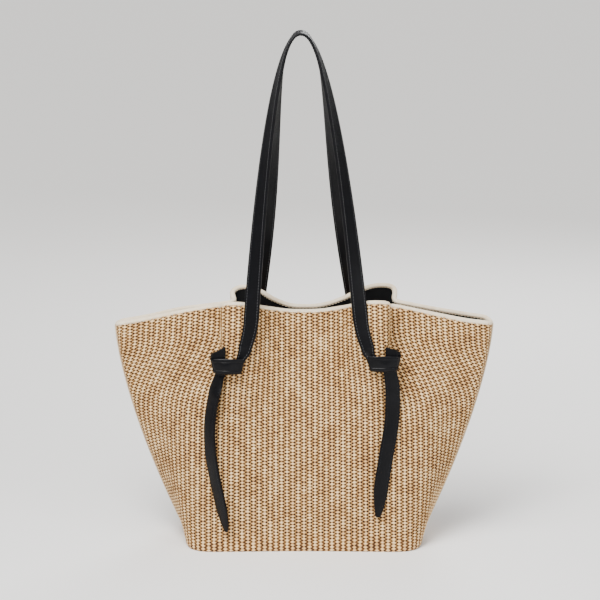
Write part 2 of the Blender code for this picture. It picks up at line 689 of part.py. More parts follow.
def build_tail(side, hand, leather):
    """The free end that hangs below a knot, along the wall, and tapers to a round tip."""
    tail = TAILS[side, hand]
    top = KNOT_TOP + KNOT_LIFT[side, hand] - KNOT_HEIGHT - SWING_ROOM
    line = through([(share, x) for share, x in tail["line"]])
    shares = np.linspace(0, 1, 19)
    offsets = np.interp(shares, line[:, 0], line[:, 1])
    centres, acrosses, widths = [], [], []
    for share, x in zip(shares, offsets):
        z = top + (tail["foot"] - top) * share
        turn = tail["turn"] * min(1.0, share / TAIL_TURN_SHARE)
        lie = STRAP_WIDTH / 2 * math.sin(turn) + TAIL_THICK / 2 + TAIL_STANDOFF
        depth = depth_near(side, hand, x, z, STRAP_WIDTH / 2) + lie
        left = (top - tail["foot"]) * (1 - share)
        widths.append(STRAP_WIDTH * (0.22 + 0.78 * math.sqrt(min(1.0, left / tail["taper"]))))
        centres.append((hand * x, side * depth, z))
        acrosses.append((math.cos(turn), -side * hand * math.sin(turn), 0))
    name = f"tail_{SIDE_NAMES[side]}_{HAND_NAMES[hand]}"
    obj = ribbon(name, centres, acrosses, widths, TAIL_THICK, leather, level_ends=True)
    put_origin(obj, centres[0])
    return obj


def build_bag():
    clear_scene()
    straw = material("woven_straw", (0.52, 0.34, 0.19), 0.75)
    cotton = material("cream_cotton", (0.80, 0.70, 0.58), 0.85)
    cloth = material("black_lining", (0.010, 0.010, 0.012), 0.70)
    leather = material("black_leather", (0.012, 0.012, 0.014), 0.38)
    board = material("grey_board", (0.16, 0.15, 0.14), 0.90)
    metal = material("snap_metal", (0.55, 0.47, 0.33), 0.30, 1.0)

    build_base(straw, board, cloth)
    build_piping(cotton)
    build_pocket(cloth)
    for hand in (LEFT, RIGHT):
        build_seam_tape(hand, cloth)
    for side in (FRONT, BACK):
        panel, lining = build_panel(side, straw), build_lining(side, cloth)
        build_snap(side, metal, cloth)
        build_strap(side, leather)
        for hand in (LEFT, RIGHT):
            knot = Knot(side, hand)
            cutter = slot_cutter(knot)
            for cut in (panel, lining, build_patch(side, hand, cloth)):
                boolean(cut, cutter, "DIFFERENCE")
            build_knot(knot, leather)
            build_tail(side, hand, leather)


build_bag()
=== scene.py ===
"""The looks of a winged straw beach bag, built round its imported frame."""

import math

import bmesh
import bpy
import numpy as np
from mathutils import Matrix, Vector


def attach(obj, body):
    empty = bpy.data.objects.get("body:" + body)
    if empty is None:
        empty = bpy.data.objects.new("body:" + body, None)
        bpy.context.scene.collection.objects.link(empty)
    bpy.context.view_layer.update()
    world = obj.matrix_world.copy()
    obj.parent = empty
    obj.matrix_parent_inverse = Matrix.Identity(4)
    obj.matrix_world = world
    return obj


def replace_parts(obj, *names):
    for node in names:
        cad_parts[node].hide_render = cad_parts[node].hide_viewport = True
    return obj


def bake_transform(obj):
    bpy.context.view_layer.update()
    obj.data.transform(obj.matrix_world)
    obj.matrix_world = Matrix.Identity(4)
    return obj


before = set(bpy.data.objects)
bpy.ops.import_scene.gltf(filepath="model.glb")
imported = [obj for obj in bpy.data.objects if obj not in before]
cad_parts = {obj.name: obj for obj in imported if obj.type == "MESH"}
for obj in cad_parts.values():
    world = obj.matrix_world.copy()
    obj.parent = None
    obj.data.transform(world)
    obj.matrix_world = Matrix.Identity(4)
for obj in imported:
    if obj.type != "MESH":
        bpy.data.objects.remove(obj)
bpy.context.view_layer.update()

# ---- the bag's own sizes, in metres ----
BASE_HALF_WIDTH = 0.149
BASE_HALF_DEPTH = 0.073
BASE_BOW = 0.003              # how far the long base edges draw in at their middle
BASE_CORNER = 0.030
MOUTH_HALF_WIDTH = 0.239
PANEL = 0.0020                # woven straw wall
CAVITY = 0.0018               # between straw and lining
LINING = 0.0008
GAP = 0.0003                  # between pieces that touch
PIPING_RADIUS = 0.0029
SEAM_RADIUS = 0.0016          # the rolled edge of a side seam
STRAP_WIDTH = 0.020
STRAP_THICK = 0.0032
APEX_HEIGHT = 0.651
STRAP_PLAY = 0.0007           # between strap and rim, and between the two straps at the top
HINGE_HEIGHT = 0.264          # where a strap starts to swing, above its knot
KNOT_TOP = 0.2485
KNOT_HEIGHT = 0.0185
KNOT_TOP_WIDTH = 0.042
KNOT_FOOT_WIDTH = 0.033
KNOT_CROWN = 0.0035           # how far the middle of the band stands proud of its ends
KNOT_SLACK = 0.0035           # between the cloth and the back of the band
EAR_WIDTH = 0.018
SWING_ROOM = 0.0024           # open space that a tail turns in, at its top
BRIDGE_THICK = 0.0026         # the leather where it is drawn tight in a knot
BRIDGE_FOOT = 0.2405
BRIDGE_TOP = 0.2610
SLOT_CLEARANCE = 0.0013
TAIL_STANDOFF = 0.0012
TAIL_THICK = 0.0030
TAIL_TURN_SHARE = 0.14        # share of its length in which a tail takes up its turn
TAIL_TUCK = 0.055             # share of its length that lies hidden behind the band
WIDTH_POWER = 1.50            # how the wall goes from the base outline to the rim outline
DEPTH_POWER = 1.40
PLEAT_START = 0.50
PLEAT_FULL = 0.90

FRONT, BACK, LEFT, RIGHT = -1, 1, -1, 1
SIDE_NAMES = {FRONT: "front", BACK: "back"}
HAND_NAMES = {LEFT: "left", RIGHT: "right"}
SEAM_SHIFT = {LEFT: 0.0, RIGHT: 0.004}     # how far a side seam lies forward of the middle

# One entry for each quarter of the wall: where its pleat turns back, how far the pleat stands
# out, how thin the bag is beside it and along the wing, and the rim's heights.
QUARTERS = {
    (FRONT, LEFT): dict(fold=0.101, curl=0.004, pleat=0.049, waist=0.012, wing=0.0095,
                        dip=0.3015, top=0.3185, crease=0.3095, wing_mid=0.299, tip=0.2835),
    (FRONT, RIGHT): dict(fold=0.105, curl=0.003, pleat=0.050, waist=0.013, wing=0.020,
                         dip=0.3015, top=0.3205, crease=0.3095, wing_mid=0.2985, tip=0.2860),
    (BACK, LEFT): dict(fold=0.088, curl=0.006, pleat=0.048, waist=0.011, wing=0.0095,
                       dip=0.3040, top=0.3215, crease=0.3095, wing_mid=0.301, tip=0.2835),
    (BACK, RIGHT): dict(fold=0.115, curl=0.004, pleat=0.049, waist=0.012, wing=0.021,
                        dip=0.3040, top=0.3235, crease=0.3095, wing_mid=0.2985, tip=0.2860),
}
RIM_DEPTH = {FRONT: 0.0130, BACK: 0.0115}  # at the middle of the mouth
STRAP_HALF_SPAN = {FRONT: 0.071, BACK: 0.068}
STRAP_BOW = {FRONT: 0.0, BACK: 0.009}      # how far a strap's legs draw together
BOW_TOP = 0.87                             # how far up its arch they stop doing so
STRAP_SWAY = {"foot": 0.003, "top": -0.004}
STRAP_HOOK = 0.005                         # how far a leg turns out towards its slot
STRAP_FOOT_WIDTH = 0.017
HOOK_RISE = 0.036
ARCH_POWER = 2.2
SLOT_BEFORE_FOLD = 0.022                   # inner slot, measured from where the pleat turns back
SLOT_BEHIND_CREST = 0.016                  # outer slot, in the pleat's side
BAND_BEFORE_FOLD = 0.005                   # middle of the knot's band
STRAP_TURN_FOOT = math.radians(12)         # how far the strap's face turns outwards at its foot
STRAP_TURN_RISE = math.radians(66)
STRAP_TURN_TOP = math.radians(12)

# How far above KNOT_TOP each knot is tied.
KNOT_LIFT = {(FRONT, LEFT): 0.0010, (FRONT, RIGHT): 0.0045, (BACK, LEFT): 0.0035,
             (BACK, RIGHT): 0.0010}

# Each tail's middle line below its knot: share of the drop, distance from the bag's middle.
TAILS = {
    (FRONT, LEFT): dict(foot=0.030, turn=math.radians(46), taper=0.030,
                        line=((0, 0.105), (0.15, 0.113), (0.32, 0.118), (0.50, 0.117),
                              (0.68, 0.111), (0.84, 0.104), (1, 0.097))),
    (FRONT, RIGHT): dict(foot=0.047, turn=math.radians(14), taper=0.034,
                         line=((0, 0.108), (0.15, 0.111), (0.35, 0.110), (0.55, 0.104),
                               (0.75, 0.098), (0.90, 0.095), (1, 0.093))),
    (BACK, LEFT): dict(foot=0.044, turn=math.radians(16), taper=0.034,
                       line=((0, 0.095), (0.2, 0.098), (0.4, 0.097), (0.6, 0.094),
                             (0.8, 0.090), (1, 0.087))),
    (BACK, RIGHT): dict(foot=0.036, turn=math.radians(50), taper=0.034,
                        line=((0, 0.096), (0.2, 0.101), (0.4, 0.103), (0.6, 0.100),
                              (0.8, 0.095), (1, 0.091))),
}

# ---- the weave ----
RIB = 0.0071                  # from one rib to the next
STEP = 0.0044                 # from one cross strand to the next
HOLE_OFF = 0.0022             # holes lie this far either side of a rib's middle
STRAND_SLOPE = 0.815          # how steeply a cross strand leaves its rib
CORD_HALF = 0.00235           # half a strand's width at the middle of its rib
CORD_TAPER = 0.62             # how fast it narrows away from there
CORD_LEAST = 0.00085          # the least that its half width comes to
CORD_RELIEF = 0.0012          # from the floor of the weave to the top of a rib
RIBS = 50                     # enough for half a panel at its widest
CLOTH_HEIGHT = 0.322
MM = 1000                     # the weave's pattern is worked out in millimetres

# ---- leather and thread ----
STRAP_ROUNDING, WRAP_ROUNDING, EAR_ROUNDING = 0.0009, 0.0008, 0.0007
SHARP = math.radians(50)      # edges turned more than this are rounded


# ---- curves ----
def through(points, samples=24, mirrored=False):
    """A smooth open curve through the points; mirrored, it starts level, as half of a whole."""
    pts = np.asarray(points, float)
    before = 2 * pts[0] - pts[1]
    if mirrored:
        before = np.concatenate([-pts[1, :1], pts[1, 1:]])
    ends = np.vstack([before, pts, 2 * pts[-1] - pts[-2]])
    run = []
    for a, b, c, d in zip(ends, ends[1:], ends[2:], ends[3:]):
        for u in np.arange(samples) / samples:
            run.append(0.5 * (2 * b + (c - a) * u + (2 * a - 5 * b + 4 * c - d) * u ** 2
                              + (3 * b - 3 * c + d - a) * u ** 3))
    return np.vstack([run, pts[-1]])


def lengths_along(points):
    """Each point's distance from the first, along the line through them all."""
    steps = np.linalg.norm(np.diff(points, axis=0), axis=1)
    return np.concatenate([[0], np.cumsum(steps)])


def at_shares(run, shares):
    """The points at these shares of the curve's length, as its first two columns measure it."""
    along = lengths_along(run[:, :2])
    wanted = np.asarray(shares) * along[-1]
    return np.stack([np.interp(wanted, along, column) for column in run.T], axis=-1)


def taken_at(places, along, *lines):
    """Each of these lines of points, interpolated at these places along it."""
    return [np.stack([np.interp(places, along, column) for column in line.T], axis=-1)
            for line in lines]


def smoothstep(x):
    x = np.clip(x, 0, 1)
    return x * x * (3 - 2 * x)


def unit(v):
    return v / np.maximum(np.linalg.norm(v, axis=-1, keepdims=True), 1e-12)


# ---- the wall, as the frame has it ----
def seam_depth(side, hand):
    return -side * SEAM_SHIFT[hand] + GAP / 2


def base_outline(side, hand):
    """A quarter of the base, from the middle of its long edge to the side seam."""
    corner = BASE_HALF_WIDTH - BASE_CORNER
    edge = [(x * corner, BASE_HALF_DEPTH - BASE_BOW * math.cos(math.pi / 2 * x) ** 2)
            for x in (0, 0.3, 0.6, 0.85)]
    arc = [(corner + BASE_CORNER * math.sin(a), BASE_HALF_DEPTH - BASE_CORNER * (1 - math.cos(a)))
           for a in np.linspace(0, math.pi / 2, 5)]
    seam = seam_depth(side, hand)
    return edge + arc + [(BASE_HALF_WIDTH, (arc[-1][1] + seam) / 2), (BASE_HALF_WIDTH, seam)]


def wing_outline(side, hand, start):
    """The rim from beside the pleat to the side seam: distance out, depth, height."""
    q = QUARTERS[side, hand]
    tip, wing = MOUTH_HALF_WIDTH, q["wing"]
    reach = tip - start
    nose = min(wing, 0.008)
    run = [(start, q["waist"], q["crease"] - 0.002),
           (start + 0.38 * reach, (q["waist"] + wing) / 2, q["wing_mid"]),
           (start + 0.70 * reach, wing, 0.45 * q["wing_mid"] + 0.55 * q["tip"]),
           (tip - nose, 0.92 * wing, q["tip"] + 0.002),
           (tip - 0.3 * nose, 0.62 * wing, q["tip"] + 0.0005),
           (tip, max(0.0, seam_depth(side, hand)) + 0.25 * nose, q["tip"])]
    return run + [(tip, seam_depth(side, hand), q["tip"])]


def rim_outline(side, hand):
    """A quarter of the rim with its pleat, from the middle of the mouth to the side seam."""
    q = QUARTERS[side, hand]
    fold, curl, pleat, waist = q["fold"], q["curl"], q["pleat"], q["waist"]
    middle, rise = RIM_DEPTH[side], q["top"] - q["dip"]
    crest = [(0, middle, q["dip"]),
             (0.20 * fold, middle + 0.04 * pleat, q["dip"] + 0.06 * rise),
             (0.42 * fold, 0.50 * pleat, q["dip"] + 0.36 * rise),
             (0.59 * fold, 0.79 * pleat, q["dip"] + 0.72 * rise),
             (0.76 * fold, 0.955 * pleat, q["dip"] + 0.96 * rise),
             (0.90 * fold, pleat, q["top"]),
             (fold, 0.935 * pleat, q["top"] - 0.0015),
             (fold + curl, 0.74 * pleat, q["top"] - 0.005),
             (fold + 0.7 * curl, 0.50 * pleat, q["crease"] + 0.002),
             (fold + 0.004, waist + 0.006, q["crease"])]
    return crest + wing_outline(side, hand, fold + 0.014)


def slack_outline(side, hand):
    """The quarter that the rim would follow without its pleat."""
    fold, pleat, waist = (QUARTERS[side, hand][key] for key in ("fold", "pleat", "waist"))
    crest = [(0, RIM_DEPTH[side] + 0.004, 0),
             (0.45 * fold, 0.42 * pleat, 0),
             (0.90 * fold, 0.62 * pleat, 0),
             (1.22 * fold, 0.40 * pleat + 0.5 * waist, 0)]
    return crest + wing_outline(side, hand, 1.62 * fold)[1:]


CURVES = {(key, make.__name__): through(make(*key), mirrored=True)
          for key in QUARTERS for make in (base_outline, rim_outline, slack_outline)}


def wall(side, hand, share, t):
    """Outer surface of the wall, at a share of the way from the middle to the seam."""
    share, t = np.broadcast_arrays(np.asarray(share, float), np.asarray(t, float))
    base, rim, slack = (at_shares(CURVES[(side, hand), name], share)
                        for name in ("base_outline", "rim_outline", "slack_outline"))
    wide = 1 - (1 - np.clip(t, 0, 1)) ** WIDTH_POWER
    deep = np.clip(t, 0, 1) ** DEPTH_POWER
    pleated = smoothstep((t - PLEAT_START) / (PLEAT_FULL - PLEAT_START))
    x = base[..., 0] + (slack[..., 0] - base[..., 0]) * wide
    x = x + (rim[..., 0] - slack[..., 0]) * pleated
    depth = base[..., 1] + (slack[..., 1] - base[..., 1]) * deep
    depth = depth + (rim[..., 1] - slack[..., 1]) * pleated
    return np.stack([hand * x, side * depth, t * rim[..., 2]], axis=-1)


def outward(side, hand, share, t):
    """The wall's outward direction in plan, level, with unit length."""
    step = 0.004
    low, high = np.clip(share - step, 0, 1), np.clip(share + step, 0, 1)
    across = wall(side, hand, high, t) - wall(side, hand, low, t)
    normal = np.stack([across[..., 1], -across[..., 0], 0 * across[..., 0]], axis=-1) * -side * hand
    normal[..., 0] = np.where(share <= 0, 0, normal[..., 0])
    normal = np.where((share >= 1)[..., None], np.array([hand, 0.0, 0.0]), normal)
    return unit(normal)


def section(side, hand, z):
    """The pleated part of the wall's outline at this height, and the place of its crest."""
    share = np.linspace(0, 0.62, 320)
    rim = wall(side, hand, share, 1.0)[:, 2]
    points = np.abs(wall(side, hand, share, z / rim)[:, :2])
    return points, int(np.argmax(points[:, 1]))


def depth_near(side, hand, x, z, reach):
    """The most that the outer wall stands from the middle plane, near x at this height."""
    points, _ = section(side, hand, z)
    return float(points[np.abs(points[:, 0] - x) <= reach, 1].max())


def pleat_side(side, hand, depth, z):
    """Distance out of the pleat's side at this depth and height."""
    points, crest = section(side, hand, z)
    beyond = points[crest:]
    return float(beyond[int(np.argmax(beyond[:, 1] < depth)), 0])


# ---- materials ----
class Number:
    """A number in a material's nodes. Arithmetic on it adds the Math nodes that work it out."""

    def __init__(self, look, socket):
        self.look, self.socket = look, socket

    def __add__(self, other):
        return self.look.math("ADD", self, other)

    def __sub__(self, other):
        return self.look.math("SUBTRACT", self, other)

    def __rsub__(self, other):
        return self.look.math("SUBTRACT", other, self)

    def __mul__(self, other):
        return self.look.math("MULTIPLY", self, other)

    def __truediv__(self, other):
        return self.look.math("DIVIDE", self, other)

    def __rtruediv__(self, other):
        return self.look.math("DIVIDE", other, self)

    def __abs__(self):
        return self.look.math("ABSOLUTE", self)

    __radd__, __rmul__ = __add__, __mul__


class Look:
    """A material whose nodes are written as expressions."""

    def __init__(self, name, **sockets):
        self.material = bpy.data.materials.new(name)
        self.material.use_nodes = True
        self.tree = self.material.node_tree
        self.shader = self.tree.nodes["Principled BSDF"]
        self.set(sockets)

    def feed(self, socket, value):
        value = getattr(value, "socket", value)
        if isinstance(value, bpy.types.NodeSocket):
            self.tree.links.new(value, socket)
        else:
            socket.default_value = value

    def set(self, sockets):
        for name, value in sockets.items():
            self.feed(self.shader.inputs[name], value)

    def node(self, kind, settings, sockets):
        """Adds a node: its settings first, then the values or links of its sockets."""
        made = self.tree.nodes.new("ShaderNode" + kind)
        for name, value in settings.items():
            if name == "stops":
                ramp = made.color_ramp.elements
                while len(ramp) < len(value):
                    ramp.new(0.5)
                for stop, (place, colour) in zip(ramp, value):
                    stop.position, stop.color = place, (*colour, 1)
            else:
                setattr(made, name, value)
        for name, value in sockets.items():
            self.feed(made.inputs[name], value)
        return made

    def math(self, operation, *values, clamp=False):
        made = self.node("Math", {"operation": operation, "use_clamp": clamp},
                         dict(enumerate(values)))
        return Number(self, made.outputs[0])

    def clamp(self, value):
        return self.math("ADD", value, 0.0, clamp=True)

    def within(self, value, low, high):
        """0 at low, 1 at high, smooth between them."""
        made = self.node("MapRange", {"interpolation_type": "SMOOTHSTEP"},
                         {"Value": value, "From Min": low, "From Max": high})
        return Number(self, made.outputs[0])

    def place(self, scale=(1, 1, 1)):
        """The piece's own coordinates, stretched by these scales."""
        coordinates = self.node("TexCoord", {}, {})
        return self.node("Mapping", {}, {"Vector": coordinates.outputs["Object"],
                                         "Scale": scale}).outputs[0]

    def cloth(self):
        """Distance across and up the cloth, in metres."""
        uv = self.node("UVMap", {"uv_map": "Cloth"}, {}).outputs[0]
        parts = self.node("SeparateXYZ", {}, {0: uv})
        return Number(self, parts.outputs[0]), Number(self, parts.outputs[1])

    def vector(self, x, y, z=0.0):
        return self.node("CombineXYZ", {}, {0: x, 1: y, 2: z}).outputs[0]

    def noise(self, vector, scale, detail=2.0, roughness=0.5):
        made = self.node("TexNoise", {}, {"Vector": vector, "Scale": scale, "Detail": detail,
                                          "Roughness": roughness})
        return Number(self, made.outputs[0])

    def ramp(self, value, *stops):
        return self.node("ValToRGB", {"stops": stops}, {0: value}).outputs[0]

    def bump(self, height, distance, strength):
        return self.node("Bump", {}, {"Height": height, "Distance": distance,
                                      "Strength": strength}).outputs[0]


def woven_straw():
    """Thin straw cord, knitted in ribs that cross strands join, with a gap beside each rib."""
    look = Look("woven_straw")
    across, up = look.cloth()
    mm_x, mm_y = across * MM, up * MM
    place = look.vector(mm_x, mm_y)
    rib, step, off = RIB * MM, STEP * MM, HOLE_OFF * MM
    # The hand-made pattern strays a little from its grid.
    drift_x = (look.noise(place, 0.16, 1.0) - 0.5) * 1.5
    drift_y = (look.noise(look.vector(mm_y, mm_x, 7.0), 0.20, 1.0) - 0.5) * 1.6
    x, y = mm_x + drift_x, mm_y + drift_y
    # The nearest rib, and how far off are its middle, its nearest hole and its nearest strand.
    number = look.math("FLOOR", x / rib + 0.5)
    from_rib = abs(x - number * rib)
    odd = look.math("FLOORED_MODULO", number, 2.0)
    turn = y / step + odd * 0.5
    from_hole = abs(look.math("FRACT", turn) - 0.5) * step
    beside = look.math("MAXIMUM", from_rib - off, 0.0)
    from_strand = abs(from_hole - (step / 2 - beside * STRAND_SLOPE))
    width = look.math("MAXIMUM", CORD_HALF * MM - from_rib * CORD_TAPER, CORD_LEAST * MM)
    # Towards the foot of the bag the strands lie closer and the holes are smaller.
    foot = 1 - look.within(mm_y, 4.0, 30.0)
    raised = 1 - look.math("POWER", from_strand / (width + foot * 0.35), 2.0)
    raised = look.clamp(raised + (1 - look.within(from_rib, 0.9, 1.9)) * 0.22)
    gap_x, gap_y = (from_rib - off) / 0.86, from_hole / 1.02
    size = look.noise(place, 0.45, 0.0) * 1.0 + 0.66 - foot * 0.35
    gap = look.math("SQRT", gap_x * gap_x + gap_y * gap_y)
    gap = 1 - look.within(gap / size, 0.50, 1.30)
    # Fibres run across the cord, and single cords and patches are paler or darker.
    fibre = look.noise(look.vector(mm_x * 0.35, mm_y * 1.5), 1.6, 3.0, 0.7)
    bent_y = mm_y + beside * from_rib * 0.12
    strand = look.noise(look.vector(mm_x * 0.5, bent_y * 4.5), 1.0, 2.0)
    streak = look.noise(look.vector(number * 1.7, mm_y * 0.045), 1.0, 1.0)
    patch = look.noise(place, 0.030, 2.0)
    each = look.node("TexWhiteNoise", {"noise_dimensions": "2D"},
                     {"Vector": look.vector(number, look.math("FLOOR", turn))})
    each = Number(look, each.outputs[0])
    # Painted shade: the sunk weave between the ribs is painted darker than the raised strands, more
    # so towards the foot.
    sunk_shade = look.within(from_rib, 1.3, 3.3) * (1 + foot * 0.8)
    # Painted shade: the holes are painted dark, as shade inside them.
    tone = raised * (0.70 - sunk_shade * 0.30) + fibre * 0.40 + each * 0.18 - gap * 1.0 - 0.30
    tone = tone + strand * 0.38
    # Painted shade between the ribs, towards the foot.
    tone = tone - look.within(from_rib, 1.7, 3.2) * foot * 0.16
    tone = tone + (patch - 0.5) * 0.35 + (streak - 0.5) * 0.45
    colour = look.ramp(tone, (0.0, (0.030, 0.009, 0.002)), (0.20, (0.14, 0.052, 0.010)),
                       (0.46, (0.39, 0.195, 0.055)), (0.72, (0.66, 0.385, 0.145)),
                       (1.0, (0.95, 0.70, 0.38)))
    height = raised - gap * 0.9 + fibre * 0.14 + strand * 0.36
    look.set({"Base Color": colour, "Roughness": 0.62 + gap * 0.3 - raised * 0.08,
              "Normal": look.bump(height, 0.0007, 0.75)})
    look.shader.inputs["Specular IOR Level"].default_value = 0.35
    return look.material


def cream_cotton():
    """Cotton cut on the slant and pulled over a cord, with fine diagonal threads."""
    look = Look("cream_cotton")
    along, around = look.cloth()
    slant = (along + around * 1.3) * 6300
    thread = look.math("SINE", slant) * 0.5 + 0.5
    cross = look.math("SINE", (along - around * 1.3) * 5200) * 0.5 + 0.5
    pucker = look.noise(look.vector(along * 150, around * 60), 1.0, 2.0)
    soil = look.noise(look.place(), 28.0, 3.0)
    tone = thread * 0.22 + cross * 0.14 + pucker * 0.42 + soil * 0.34
    # Painted shade: the underside of the binding is painted darker where it meets the straw.
    below = look.clamp(look.math("SINE", around / PIPING_RADIUS) * -1.1 - 0.25)
    colour = look.ramp(tone - below * 0.55, (0.0, (0.36, 0.20, 0.10)), (0.25, (0.66, 0.50, 0.33)),
                       (0.55, (0.86, 0.73, 0.54)), (0.85, (0.94, 0.86, 0.70)))
    height = thread * 0.35 + cross * 0.25 + pucker * 1.6
    look.set({"Base Color": colour, "Roughness": 0.80 + cross * 0.12,
              "Normal": look.bump(height, 0.00035, 0.8)})
    return look.material


def black_lining():
    """Thin black cloth in a plain weave, softly creased."""
    look = Look("black_lining")
    place = look.place()
    parts = look.node("SeparateXYZ", {}, {0: place})
    x, y, z = (Number(look, parts.outputs[i]) for i in range(3))
    level = look.math("SINE", z * 9000) * 0.5 + 0.5
    plumb = look.math("SINE", (x + y) * 9000) * 0.5 + 0.5
    crease = look.noise(place, 22.0, 3.0)
    tone = level * 0.25 + plumb * 0.25 + crease * 0.5
    colour = look.ramp(tone, (0.2, (0.003, 0.003, 0.0035)), (0.8, (0.009, 0.009, 0.010)))
    look.set({"Base Color": colour, "Roughness": 0.66 + plumb * 0.14,
              "Normal": look.bump(level * 0.2 + plumb * 0.2 + crease * 1.5, 0.0010, 0.5)})
    look.shader.inputs["Specular IOR Level"].default_value = 0.2
    return look.material


def black_leather():
    """Smooth black leather with a fine pebble grain, duller where it is worn."""
    look = Look("black_leather")
    place = look.place()
    grain = look.node("TexVoronoi", {"feature": "DISTANCE_TO_EDGE"},
                      {"Vector": place, "Scale": 1150.0})
    grain = look.within(Number(look, grain.outputs[0]), 0.0, 0.22)
    fine = look.noise(place, 2600.0, 2.0)
    worn = look.noise(place, 42.0, 4.0, 0.62)
    tone = worn * 0.75 + grain * 0.14 + fine * 0.10
    colour = look.ramp(tone, (0.25, (0.0014, 0.0014, 0.0020)), (0.62, (0.0028, 0.0029, 0.0040)),
                       (0.9, (0.009, 0.0095, 0.013)))
    look.set({"Base Color": colour, "Roughness": 0.46 - worn * 0.26 + (1 - grain) * 0.12,
              "Normal": look.bump(grain + fine * 0.35, 0.00010, 0.5), "Coat Weight": 0.10,
              "Coat Roughness": 0.22})
    look.shader.inputs["Specular IOR Level"].default_value = 0.08
    return look.material


def waxed_thread():
    """Dark thread, with its twist."""
    look = Look("waxed_thread")
    twist = look.noise(look.place((1, 1, 3)), 1400.0, 1.0)
    colour = look.ramp(twist, (0.3, (0.022, 0.022, 0.025)), (0.7, (0.060, 0.061, 0.066)))
    look.set({"Base Color": colour, "Roughness": 0.55 - twist * 0.15,
              "Normal": look.bump(twist, 0.0002, 0.6)})
    return look.material


def grey_board():
    """Grey board, with flecks of fibre."""
    look = Look("grey_board")
    fleck = look.noise(look.place(), 420.0, 4.0, 0.7)
    colour = look.ramp(fleck, (0.3, (0.12, 0.11, 0.10)), (0.7, (0.21, 0.20, 0.18)))
    look.set({"Base Color": colour, "Roughness": 0.86 + fleck * 0.1,
              "Normal": look.bump(fleck, 0.0002, 0.4)})
    return look.material


def snap_metal():
    """Brushed old brass, a little tarnished."""
    look = Look("snap_metal", Metallic=1.0)
    brushed = look.noise(look.place((1, 1, 12)), 260.0, 3.0)
    tarnish = look.noise(look.place(), 160.0, 3.0)
    colour = look.ramp(tarnish * 0.7 + brushed * 0.3, (0.3, (0.34, 0.26, 0.15)),
                       (0.7, (0.62, 0.50, 0.31)))
    look.set({"Base Color": colour, "Roughness": 0.24 + tarnish * 0.22,
              "Normal": look.bump(brushed, 0.00008, 0.5)})
    return look.material


# ---- mesh helpers ----
def start_clean():
    bpy.ops.object.select_all(action="DESELECT")


def work_on(piece):
    """Makes a piece the only one that the operators act on."""
    start_clean()
    piece.select_set(True)
    bpy.context.view_layer.objects.active = piece


def finish_piece(piece, look, body):
    """Gives a piece its material and, when a body is named, attaches it to that body."""
    piece.data.materials.clear()
    piece.data.materials.append(look)
    piece.data.shade_smooth()
    if body:
        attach(piece, body)
    return piece


def lay_cloth(piece, cloth):
    """Writes each point's place on the cloth as the piece's own UV map."""
    corners = np.empty(len(piece.data.loops), int)
    piece.data.loops.foreach_get("vertex_index", corners)
    layer = piece.data.uv_layers[0]
    layer.name = "Cloth"
    layer.uv.foreach_set("vector", cloth[corners].astype(np.float32).ravel())
    piece.data.update()


def face_outwards(piece):
    work_on(piece)
    bpy.ops.object.mode_set(mode="EDIT")
    bpy.ops.mesh.select_all(action="SELECT")
    bpy.ops.mesh.normals_make_consistent(inside=False)
    bpy.ops.object.mode_set(mode="OBJECT")


def bent_grid(name, columns, rows, points, cloth):
    """A grid whose points are moved to points[row, column], with cloth[row, column] as its UV."""
    start_clean()
    bpy.ops.mesh.primitive_grid_add(x_subdivisions=columns, y_subdivisions=rows, size=1)
    piece = bpy.context.active_object
    piece.name = piece.data.name = name
    flat = np.empty(len(piece.data.vertices) * 3)
    piece.data.vertices.foreach_get("co", flat)
    flat = flat.reshape(-1, 3)
    column = np.rint((flat[:, 0] + 0.5) * columns).astype(int)
    row = np.rint((flat[:, 1] + 0.5) * rows).astype(int)
    piece.data.vertices.foreach_set("co", points[row, column].ravel())
    lay_cloth(piece, cloth[row, column])
    return piece


def add_modifier(piece, kind, **settings):
    """Adds a modifier and applies it."""
    work_on(piece)
    made = piece.modifiers.new(kind.lower(), kind)
    for name, value in settings.items():
        setattr(made, name, value)
    bpy.ops.object.modifier_apply(modifier=made.name)


def thicken(piece, thick, offset, rounding):
    """Gives a sheet of leather its thickness, and rounds its edges."""
    add_modifier(piece, "SOLIDIFY", thickness=thick, offset=offset)
    add_modifier(piece, "BEVEL", width=rounding, segments=3, limit_method="ANGLE",
                 angle_limit=SHARP)


def tidy_mesh(piece, drop=None):
    """Merges doubled points, and drops the faces whose middle drop() picks."""
    merge = 1e-5
    shape = bmesh.new()
    shape.from_mesh(piece.data)
    bmesh.ops.remove_doubles(shape, verts=shape.verts, dist=merge)
    bmesh.ops.dissolve_degenerate(shape, edges=shape.edges, dist=merge)
    if drop:
        gone = [face for face in shape.faces if drop(face.calc_center_median())]
        bmesh.ops.delete(shape, geom=gone, context="FACES")
    shape.to_mesh(piece.data)
    shape.free()


def strap_mesh(name, centres, acrosses, normals, widths, thick, look, crown=0.0):
    """A flat strap along the centres, with rounded edges, its middle raised by the crown."""
    count, columns = len(centres), 8
    side = np.linspace(-0.5, 0.5, columns + 1)
    points = (centres[:, None] + acrosses[:, None] * (side[:, None] * widths[:, None, None])
              + normals[:, None] * (crown * (1 - 4 * side ** 2))[:, None])
    along = lengths_along(centres)
    cloth = np.stack(np.broadcast_arrays(side[None] * widths[:, None], along[:, None]), axis=-1)
    piece = bent_grid(name, columns, count - 1, points, cloth)
    thicken(piece, thick, 0.0, STRAP_ROUNDING)
    return finish_piece(piece, look, None)


